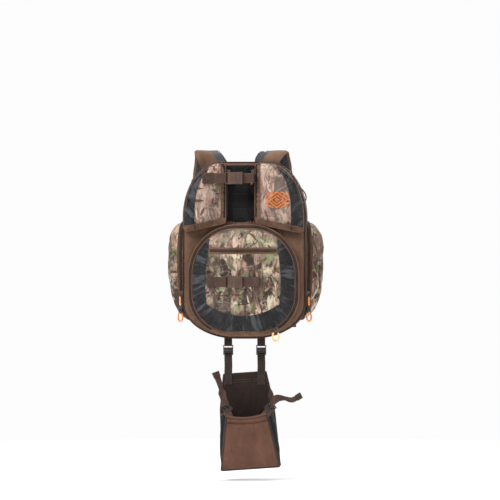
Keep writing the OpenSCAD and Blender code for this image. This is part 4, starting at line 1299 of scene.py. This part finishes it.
def shoulder_strap(side, tag):
    points = np.array(STRAP_TOP[tag] + STRAP_LOW, float) * (side, 1, 1)
    hints = np.array(STRAP_SIDE, float) * (1, side, side)
    line = smooth(points, 5)
    along = np.concatenate([[0], np.cumsum(np.linalg.norm(np.diff(points, axis=0), axis=1))])
    at = np.linspace(0, along[-1], len(line))
    hints = np.stack([np.interp(at, along, hints[:, k]) for k in range(3)], 1)
    t = unit(np.gradient(line, axis=0))
    s = unit(hints - t * (t * hints).sum(1, keepdims=True))
    u = np.cross(t, s)
    puffed = 7 * (1 - 0.10 * np.cos(np.linspace(0, 26, len(line))) ** 8)
    thin = np.clip(np.minimum(at, at[-1] - at) / 16, 0.35, 1) ** 0.7
    narrow = np.interp(at, [0, 60, at[-1] - 60, at[-1]], [32, 32, 31.5, 20])
    sections = np.stack([strap_section(w, h) for w, h in zip(narrow, puffed * thin)])
    build = Build()
    verts, faces = sweep(line, sections, hints)
    k = sections.shape[1]
    which = []
    for f in faces:
        if len(f) > 4:
            which.append(1)
        else:
            j = f[0] % k
            neck = j < 3 if side > 0 else 7 <= j < 10
            rim = 10 <= j < 14 if side > 0 else j >= 24
            which.append(2 if neck or 14 <= j < 24 else 0 if j < 10 or rim else 1)
    build.add(verts, faces, which)
    for edge in (-1, 1):
        rim = line + s * (edge * (narrow - 5.2))[:, None] - u * (puffed * thin * 0.80)[:, None]
        stitches(build, rim[3:-3], -u[3:-3], 3)
        cord = line + s * (edge * (narrow - 0.6))[:, None]
        tube(build, cord, 1.7, 0 if edge == side else 1, side=(0, 0.1, 1))
    piece = build.make("shoulder_strap_shell_" + tag, [BROWN, BLACK, MESH, THREAD], "pack", "brown_fabric",
                       ["shoulder_strap_" + tag], weld=0)

    # the webbing that runs down the strap's face, tacked at intervals
    web = Build()
    first = int(len(line) * 0.34)
    rail = line[first:] - u[first:] * (puffed * thin + 0.9)[first:, None]
    web.add(*sweep(rail, flat(25, 1.6), s[first:]), 0)
    for i in range(0, len(rail) - 4, 11):
        for off in (-4, 0, 4):
            k = first + i
            row = rail[i] + np.outer(np.linspace(-11, 11, 8), s[k]) + t[k] * off * 0.4 - u[k] * 0.9
            stitches(web, row, -u[k], 1, long=2.4, gap=0.4)
    web.make("shoulder_strap_webbing_" + tag, [BLACK_WEB, BLACK_THREAD], "pack", "black_webbing", weld=0)


for side, tag in ((1, "right"), (-1, "left")):
    shoulder_strap(side, tag)
    tails = Build()
    path = [np.array(p) * (side, 1, 1) for p in
            [(106, 37, 40), (106, 32, 34), (108, 20, 8), (110, 4, -12), (112, -9, -23), (112, -11.1, -38)]]
    line = strap(tails, path, 25, 1.8, (side, 0, 0.2))
    foot = np.array([112.0 * side, -11.0, -34.0])
    box(tails, foot + (0, 0.3, 0), (30, 2.4, 20), mat=0, chamfer=0.6)
    for dx in (-11, 11):
        stitches(tails, [foot + (dx, 1.6, z) for z in np.linspace(-8, 8, 6)], (0, 1, 0), 1)
    for dz in (-8, 8):
        stitches(tails, [foot + (x, 1.6, dz) for x in np.linspace(-11, 11, 8)], (0, 1, 0), 1)
    tails.make("harness_tail_" + tag, [BLACK_WEB, BLACK_THREAD], "pack", "black_webbing",
               ["strap_webbing"] if side > 0 else [], weld=0)
bevelled("strap_ladder_locks", BUCKLE, "buckle_plastic", 0.7)

grip = Build()
arch_line = [(22 * math.cos(a), -10.8 + 26 * math.sin(a) ** 0.8, 350)
             for a in np.radians(np.linspace(0, 180, 25))]
grip.add(*sweep(smooth(arch_line, 3), flat(22, 2.0), (0, 0, 1)), 0)
for side in (-1, 1):
    box(grip, (side * 18, -11.2, 350), (19, 2.2, 25), mat=0, chamfer=0.6)
    for dx in (-7, 7):
        stitches(grip, [(side * 18 + dx, -10.0, z) for z in np.linspace(340, 360, 7)], (0, 1, 0), 1)
    for dx in (-7, 7):
        stitches(grip, [(side * 18 + dx, -10.0, 340), (side * 18 - dx, -10.0, 360)], (0, 1, 0), 1)
grip.make("haul_loop_webbing", [WEB, THREAD], "pack", "webbing", ["haul_loop"], weld=0)

# sternum strap
chest = Build()
STERNUM_Y = 68 + 7 + 8.6
STERNUM_Z = 250
PLY = 2.1
for side in (-1, 1):
    box(chest, (side * 112, 77.2, STERNUM_Z), (28, 3, 26), mat=1, chamfer=0.8)
    box(chest, (side * 112, 79.4, STERNUM_Z), (22, 2, 20), mat=1, chamfer=0.8)
for ply in (-PLY, PLY):
    path = [(x, STERNUM_Y + ply * share, STERNUM_Z)
            for x, share in ((-90, 0.4), (-80, 1), (-50, 1), (-19, 1))]
    strap(chest, path, 20, 1.2, (0, 0, 1))
turned = [(-18.5 + 2.2 * math.sin(a), STERNUM_Y - PLY * math.cos(a), STERNUM_Z) for a in HALF_TURN]
chest.add(*sweep(turned, flat(20, 1.2), (0, 0, 1)), 0)
box(chest, (-93.5, 81.5, STERNUM_Z), (17, 6.5, 20), mat=0, chamfer=0.8)
strap(chest, [(x, STERNUM_Y - 4.4, STERNUM_Z) for x in (0.5, 40, 80, 106)], 20, 1.6, (0, 0, 1))
chest.make("sternum_webbing", [BLACK_WEB, BUCKLE], "sternum", "black_webbing", ["sternum_strap"], weld=0)
bevelled("sternum_buckle_female", BUCKLE, "buckle_plastic", 0.7)
bevelled("sternum_buckle_male", BUCKLE, "buckle_plastic", 0.7)

# ---------------------------------------------------------------- cords, patch and retention straps

SLACK = [(92, 356), (104, 349), (116, 339), (127, 327), (138, 316), (149, 306), (157, 294), (158, 281),
         (150, 272), (141, 270), (138, 262), (141, 250), (143, 238)]
SNUG = [(92, 356), (104, 349), (116, 339), (126, 327), (134, 313), (139, 298), (142, 284), (144, 270),
        (145, 254), (145, 238)]
for side, route, tag, marks in ((1, SLACK, "right", (0, 3, 10, 12)), (-1, SNUG, "left", (0, 3, 6, 9))):
    bungee = Build()
    line = smooth([(x * side, -168.3, z) for x, z in route], 2.5)
    tube(bungee, line, 1.7, 0, 10)
    for end in (line[0], line[-1]):
        box(bungee, end, (4.6, 4.4, 4.6), mat=0, chamfer=1.6)
    bungee.make("shock_cord_" + tag + "_braid", [CORD], "front_panel", "shock_cord", ["shock_cord_" + tag],
                weld=0)
    loops = Build()
    for m in marks:
        x, z = route[m]
        near = np.argmin(np.hypot(line[:, 0] - x * side, line[:, 2] - z))
        t = unit(np.gradient(line, axis=0))[near]
        o = np.array([0, -1.0, 0])
        s = np.cross(t, o)
        wrap = [line[near] + s * a + o * b for a, b in (
            (-6, -2.6), (-3.4, -1.6), (-2.2, 1.2), (0, 2.6), (2.2, 1.2), (3.4, -1.6), (6, -2.6))]
        loops.add(*sweep(smooth(wrap, 1.5), flat(8, 0.9), t), 0)
    loops.make("cord_loops_" + tag, [WEB], "front_panel", "webbing", ["cord_keepers"] if side > 0 else [],
               weld=0)

# a generic stitched motif, open so that the print shows between its lines
badge = Build()
motif = [
    ([(26, 0), (0, 20), (-26, 0), (0, -20)], 1.5, True),
    ([(15, 0), (0, 11.5), (-15, 0), (0, -11.5)], 1.2, True)]
motif += [([(30 * a, 6 * b), (20 * a, 15 * b), (9 * a, 20 * b)], 1.3, False)
          for b in (1, -1) for a in (-1, 1)]
motif += [([(0, 5), (0, -5)], 1.5, False), ([(-6, 0), (6, 0)], 1.5, False)]
for line, r, closed in motif:
    flat_line = resample(np.array(line, float) + (86, 280), 1.2, closed)
    places, normals = drop(upper_right, flat_line, FRONT, 0.5)
    tube(badge, smoothed(places), r, 0, 8, closed, (0, 1, 0.01))
    for a, b in zip(places[:-1], places[1:]):
        along = unit(b - a)
        over = np.cross(along, (0, 1, 0)) * (r + 0.6)
        stitch = [a - over + (0, -0.2, 0), a + (0, -r - 0.35, 0), a + over + (0, -0.2, 0)]
        badge.add(*sweep(stitch, disc(0.34, 5), along), 0)
badge.make("stitched_motif", [PATCH], "front_panel", "patch_thread", ["patch"], weld=0)


def box_stitch(build, x0, x1, z0, z1, y, mat):
    for line in ([(x0, z0), (x1, z0)], [(x0, z1), (x1, z1)], [(x0, z0), (x0, z1)], [(x1, z0), (x1, z1)],
                 [(x0, z0), (x1, z1)], [(x0, z1), (x1, z0)]):
        stitches(build, [(x, y, z) for x, z in resample(line, 2)], (0, -1, 0), mat, long=2.6, gap=1.0)


def retention(name, node, mid, z, surface_y, anchor_w, male_run, end):
    """Anchor, doubled webbing to the female half, and the run that the male half slides along."""
    web = Build()
    rear = -45.0
    for ply in (-PLY, PLY):
        path = [(rear - 32, mid + ply * 0.5 + 0.4, z), (rear - 20, mid + ply, z), (rear + 1, mid + ply, z)]
        strap(web, path, 25, 1.2, (0, 0, 1))
    turned = [(rear + 1 + 2.6 * math.sin(a), mid - PLY * math.cos(a), z) for a in HALF_TURN]
    web.add(*sweep(turned, flat(25, 1.2), (0, 0, 1)), 0)
    x1 = rear - 28
    x0 = x1 - anchor_w
    front = mid - 2.4
    deep = surface_y - front
    box(web, ((x0 + x1) / 2, front + deep / 2, z), (anchor_w, deep, 28), mat=1, chamfer=1.6)
    box_stitch(web, x0 + 3, x1 - 3, z - 10.5, z + 10.5, front - 0.1, 2)
    stitches(web, [(rear - 24, mid - 2.8, z - 10), (rear - 24, mid - 2.8, z + 10)], (0, -1, 0), 2, gap=0.3)
    strap(web, [(x, mid + 4.4, z) for x in (-18.6, -4, male_run * 0.6, male_run)], 25, 1.6, (0, 0, 1))
    end(web)
    web.make(name, [WEB, DARK_BROWN, THREAD], "front_panel", "webbing", [node], weld=0)


# the buckles' middle planes and heights, and the pockets' faces behind them
UPPER_MID, UPPER_Z, UPPER_FACE = -193.5, 335, -188
LOWER_MID, LOWER_Z, LOWER_FACE = -200.5, 73, -192


def upper_end(web):
    """Turns the webbing back along the channel's wall."""
    path = [(25.0, UPPER_MID + 4.4), (26.6, UPPER_MID + 5.4), (26.9, UPPER_MID + 9), (26.9, UPPER_MID + 22),
            (26.9, -159)]
    web.add(*sweep(smooth([(x, y, UPPER_Z) for x, y in path], 2), flat(25, 1.8), (0, 0, 1)), 0)
    stitches(web, [(25.8, -163, z) for z in np.linspace(325, 345, 8)], (-1, 0, 0), 2, gap=0.3)


def lower_end(web):
    """Sews the webbing down on the pocket."""
    front = LOWER_MID + 3.6
    box(web, (32, (front + LOWER_FACE) / 2, LOWER_Z), (18, LOWER_FACE - front, 25), mat=0, chamfer=1.2)
    box_stitch(web, 25.5, 38.5, 64, 82, LOWER_MID + 3.4, 2)


retention("upper_strap_webbing", "upper_strap", UPPER_MID, UPPER_Z, UPPER_FACE, 30, 25, upper_end)
retention("lower_strap_webbing", "lower_strap", LOWER_MID, LOWER_Z, LOWER_FACE, 16, 24, lower_end)


def buckle(stem, mid, z):
    """Two moulded halves of a side release buckle, with ribs across each."""
    female, male = stem + "_buckle_female", stem + "_buckle_male"
    bevelled(female, RETAINER, "buckle_plastic", 1.0)
    bevelled(male, RETAINER, "buckle_plastic", 1.0)
    for node, name, places, half, r in ((female, "_buckle_ribs", (-25, -29.5, -34), 13, 1.0),
                                        (male, "_buckle_grip", (-14.5, -10.5, -6.5), 12, 0.9)):
        extra = Build()
        for x in places:
            path = [(x, mid - 4.6, z + dz) for dz in np.linspace(-half, half, 9)]
            extra.add(*sweep(path, disc(r, 8), (1, 0, 0)), 0)
        extra.make(stem + name, [RETAINER], BODY_OF[node], "buckle_plastic", weld=0)


buckle("upper", UPPER_MID, UPPER_Z)
buckle("lower", LOWER_MID, LOWER_Z)

# ---------------------------------------------------------------- rifle boot

LEAN = math.radians(-4)


def leaned(v):
    """Leans boot points sideways about the top of its back panel."""
    v = np.asarray(v, float)
    z = v[..., 2] + 159
    return np.stack([v[..., 0] * math.cos(LEAN) + z * math.sin(LEAN), v[..., 1],
                     -v[..., 0] * math.sin(LEAN) + z * math.cos(LEAN) - 159], -1)


def panel(name, halves, top, bottom, y, thick, sag, mats, node, folds, hem):
    """A cloth panel of the boot: half width at the top and bottom, a sagging top hem and soft folds."""
    rows, cols = 44, 30
    front, back = [], []
    for i in range(rows + 1):
        f = i / rows
        for j in range(cols + 1):
            u = 2 * j / cols - 1
            w = np.interp(f, *zip(*halves))
            dip = sag * (1 - u * u) * (1 - f) ** 3
            z = top + (bottom - top) * f - dip
            rough = noise.noise(Vector((u * 1.6, f * 3.2, halves[0][1]))) + 0.5 * noise.noise(
                Vector((u * 3.4, f * 6 + u, halves[0][1] + 3)))
            fold = folds * (0.5 * math.sin(3.1 * u + 5 * f) * (1 - u * u) + rough) * math.sin(
                math.pi * min(1, f * 1.15 + 0.05))
            belly = 2.2 * folds * (1 - u * u) * math.sin(math.pi * f)
            lip = np.clip(1 - max(0, f - 0.10) / 0.02, 0, 1) - 0.5 * math.exp(-((f - 0.13) / 0.02) ** 2)
            lip *= hem
            yy = y - fold - belly - lip
            front.append((u * w, yy - thick / 2, z))
            back.append((u * w * 0.995, yy + thick / 2, z))
    verts = leaned(np.array(front + back))
    cut = Build().add(verts, two_sided(rows, cols), 0)
    piece = cut.make(name, mats, "boot", "brown_fabric", [node], weld=0)
    trim = Build()
    skin = verts[:len(front)].reshape(rows + 1, cols + 1, 3)
    for col, r in ((0, 1.9), (cols, 1.9)):
        tube(trim, skin[:, col], r, 0)
    tube(trim, skin[0], 1.8, 0)
    tube(trim, skin[rows], 1.7, 0)
    for row in (3, 4):
        stitches(trim, skin[row][1:-1] - (0, 0.5, 0), (0, -1, 0), 1)
    if hem:
        tube(trim, skin[0] - (0, 1.2, 0.6), 2.8, 2)
    stitches(trim, skin[rows - 1][1:-1] - (0, 0.5, 0), (0, -1, 0), 1)
    for col in (1, cols - 1):
        stitches(trim, skin[2:-1, col] - (0, 0.5, 0), (0, -1, 0), 1)
    edging = trim.make(name + "_edging", [mats[1], THREAD, mats[0]], "boot", "brown_fabric", weld=0)


panel("boot_front_panel", [(0, 50), (1, 74)], -263, -400, -160, 2.6, 8, [BOOT, DARK_BROWN], "boot_front",
      3.6, 3.6)
# The back panel's cloth is the darker brown of painted shade.
panel("boot_back_panel", [(0, 54), (0.358, 68), (1, 74)], -159, -400, -101, 5.0, 0,
      [BOOT_BACK_SHADED, DARK_BROWN], "boot_back", 0.7, 0.0)

# side gussets bow outward, the base is flat
sides = Build()
for side in (-1, 1):
    rows, cols = 26, 10
    skin = []
    for i in range(rows + 1):
        f = i / rows
        for j in range(cols + 1):
            g = j / cols
            half = (69 + 5 * f) * (1 - g) + (50 + 24 * f) * g
            bulge = math.sin(math.pi * g) * (9 * math.sin(math.pi * min(1, 0.12 + f * 0.86)) ** 0.8) \
                * (1 + 0.25 * noise.noise(Vector((f * 5, g * 2, side))))
            z = -264 - 138 * f + 6 * math.sin(math.pi * g) * (1 - f)
            skin.append((side * (half - 1.5 + bulge), -104 - 54 * g, z))
    skin = np.array(skin)
    inner = skin - (side * 1.2, 0, 0)
    sides.add(leaned(np.vstack([skin, inner])), two_sided(rows, cols), 0)
    grid = leaned(skin.reshape(rows + 1, cols + 1, 3))
    tube(sides, grid[0], 1.6, 1)
    tube(sides, grid[:, cols - 1] - (0, 1.5, 0), 1.7, 1)
base = []
for x in np.linspace(-73, 73, 19):
    for y in np.linspace(-161, -99, 9):
        base.append((x, y, -401.6 - 0.8 * noise.noise(Vector((x / 40, y / 30, 2)))))
base = np.array(base)
sides.add(leaned(np.vstack([base, base + (0, 0, 2.4)])), two_sided(18, 8), 0)
rect = resample([(x, y, -401.3) for x, y in ((-73, -161), (73, -161), (73, -99), (-73, -99))], 5, True)
tube(sides, leaned(rect), 1.3, 1, closed=True, side=(0, 0, 1))
sides.make("boot_side_panels", [DEEP_BLACK, BLACK], "boot", "black_fabric", ["boot_gussets"], weld=0)

# hanging straps: tabs on the bag's underside, buckles, and webbing down to the boot's back panel
# The tabs and straps take the darker webbing, partly painted shade under the bag.
hang = Build()
for x in (-42, 42):
    for ply in (-PLY, PLY):
        path = [(x, -106 + ply * share, z) for share, z in ((0.3, -64), (0.8, -74), (1, -88))]
        strap(hang, path, 20, 1.2, (1, 0, 0))
    turned = [(x, -106 - PLY * math.cos(a), -88 - 2.4 * math.sin(a)) for a in HALF_TURN]
    hang.add(*sweep(turned, flat(20, 1.2), (1, 0, 0)), 0)
    stitches(hang, [(x + dx, -108.9, -79) for dx in np.linspace(-8, 8, 8)], (0, -1, 0), 1, gap=0.3)
hang.make("boot_tab_webbing", [DARK_SHADED_WEB, BLACK_THREAD], "boot_hanger", "webbing", ["boot_tabs"], weld=0)
for node in ("boot_buckle_females", "boot_buckle_males"):
    bevelled(node, BUCKLE, "buckle_plastic", 0.6)
hang = Build()
for x in (-42, 42):
    strap(hang, [(x, -104.9, -106), (x, -104.9, -120), (x + 0.5, -105.3, -140), (x, -104.9, -160),
                 (x, -104.9, -189)], 20, 1.8, (1, 0, 0))
    box_stitch(hang, x - 7.5, x + 7.5, -187, -166, -106.0, 1)
hang.make("boot_strap_webbing", [DARK_SHADED_WEB, BLACK_THREAD], "boot", "webbing", ["boot_webbing"], weld=0)
bevelled("boot_ladder_locks", BUCKLE, "buckle_plastic", 0.6)

pulls = Build()
ties = [
    ([(-56, -101, -206), (-60, -124, -216), (-58, -146, -228), (-45, -161, -238)],
     [(-0.3, 0.2, 1)] * 4, False),
    ([(61, -101, -206), (68, -124, -216), (72, -146, -228), (70, -161, -236)], [(0.3, 0.2, 1)] * 4, False),
    ([(-46, -168.4, -240), (-49, -175, -224), (-56, -178, -200), (-62, -176, -178), (-71, -174, -155)],
     [(1, 0, 0.4), (0.7, -0.8, 0.4), (0.4, 0.9, 0.2), (0.7, 0.8, 0.3), (0.8, 0.6, 0.4)], True),
    ([(70, -168.4, -239), (84, -176, -222), (104, -178, -221), (124, -175, -225), (147, -172, -213)],
     [(0, 0.6, 1), (0.1, -0.2, 0.9), (0, -1, 0.6), (0, -0.9, 0.9), (0, -0.8, 0.8)], True)]
for path, hints, free in ties:
    along = smooth(path, 3)
    side = spread(hints, len(along))
    pulls.add(*sweep(along, flat(20, 1.8), side), 0)
    if free:
        t = unit(np.gradient(along, axis=0))
        s = unit(side - t * (t * side).sum(1, keepdims=True))
        u = np.cross(t, s)
        for off in (-1.9, 1.9):
            pulls.add(*sweep(along[-6:] + u[-6:] * off, flat(20, 1.6), side[-6:]), 1)
        for off in (-3.0, 3.0):
            row = along[-4] + np.outer(np.linspace(-8, 8, 8), s[-4]) - u[-4] * off
            stitches(pulls, row, -u[-4] * np.sign(off), 2, gap=0.3)
for x, z in ((-43, -246), (68, -245)):
    end = leaned(np.array([-42.0 if x < 0 else 42.0, -164.0, -272.0]))
    middle = ((x + end[0]) / 2, -165.6, (z + end[2]) / 2 - 2)
    strap(pulls, [(x, -164.5, z - 4), middle, tuple(end)], 19, 1.6, (1, 0, -0.3 * np.sign(x)))
pulls.make("boot_cinch_webbing", [WEB, DARK_BROWN, THREAD], "boot", "webbing", ["boot_cinch"], weld=0)

# ---------------------------------------------------------------- sliders and pulls

for node in [n for n in BODY_OF if "slider" in n]:
    bevelled(node, METAL, "slider_metal", 0.45)

for node in [n for n in BODY_OF if "_pull" in n]:
    lo, hi = cad(node)
    pin = np.array([(lo[0] + hi[0]) / 2, (lo[1] + hi[1]) / 2, hi[2] - 2])
    wide = (1, 0, 0) if hi[0] - lo[0] > hi[1] - lo[1] else (0, 1, 0)
    wide = np.array(wide, float)
    thin = np.cross(wide, (0, 0, 1))
    slim = 0.72 if "top" in node else 0.82 if "side" in node else 1.2
    sleeve = PALE_SLEEVE if node in ("main_pull_left", "front_pull") else SLEEVE

    def at(w, t, z):
        return pin + wide * w * slim + thin * t + np.array([0, 0, z])

    made = Build()
    knot = [at(-5.4, 0, -15), at(-4.6, 0.2, -10), at(-1.9, 0.9, -4), at(-0.7, 1.0, -0.4), at(0, 0.2, 1.6),
            at(0.7, -1.0, -0.4), at(1.9, -0.9, -4), at(4.6, -0.2, -10), at(5.4, 0, -15)]
    tube(made, smooth(knot, 1.2), 0.95, 0, side=thin + (0.02, 0.03, 0.01))
    box(made, at(0, 0, -5.2), (3.6, 3.2, 3.4), np.array([wide, thin, (0, 0, 1)]), 0, 0.9)
    loop = smooth([at(-5.0, 0, -11.5), at(-6.2, 0, -17), at(-6.6, 0.3, -23), at(-4.8, 0.2, -28.8),
                   at(0, 0, -31.7), at(4.8, -0.2, -28.8), at(6.6, -0.3, -23), at(6.2, 0, -17),
                   at(5.0, 0, -11.5)], 1.5)
    swell = 1.0 + 0.12 * np.sin(np.linspace(0, math.pi, len(loop))) ** 2
    made.add(*sweep(loop, disc(2.0, 10), thin, scale=swell), 1)
    for i in range(2, len(loop) - 2, 2):
        forward = unit(loop[i + 1] - loop[i - 1])
        over = np.cross(forward, thin)
        ring = [loop[i] + (a * thin + b * over) * 2.2 for a, b in disc(1.0, 10)]
        tube(made, ring, 0.28, 1, 5, True, forward)
    made.make(node + "_cord", [PULL_CORD, sleeve], BODY_OF[node], "pull_cord", [node], weld=0)

# ---------------------------------------------------------------- floor

floor_mesh = bpy.data.meshes.new("floor")
n = 96
turns = [2 * math.pi * i / n for i in range(n)]
floor_mesh.from_pydata([(3 * math.cos(a), 3 * math.sin(a), -0.43) for a in turns], [], [tuple(range(n))])
floor = bpy.data.objects.new("floor", floor_mesh)
scene.collection.objects.link(floor)
g = Graph("pale floor", 0.9, 0.0, 0.1)
g.feed(g.base, g.ramp(g.noise(3, 2), (0.3, (0.86, 0.86, 0.86, 1)), (0.7, (0.89, 0.89, 0.89, 1))))
away = g.node("ShaderNodeVectorMath", {"operation": "LENGTH"}, Vector=g.place).outputs["Value"]
g.feed(g.shader.inputs["Alpha"], g.ramp(g.math("DIVIDE", away, 3.0), (0.24, 1.0), (0.85, 0.0)))
floor_mesh.materials.append(g.mat)
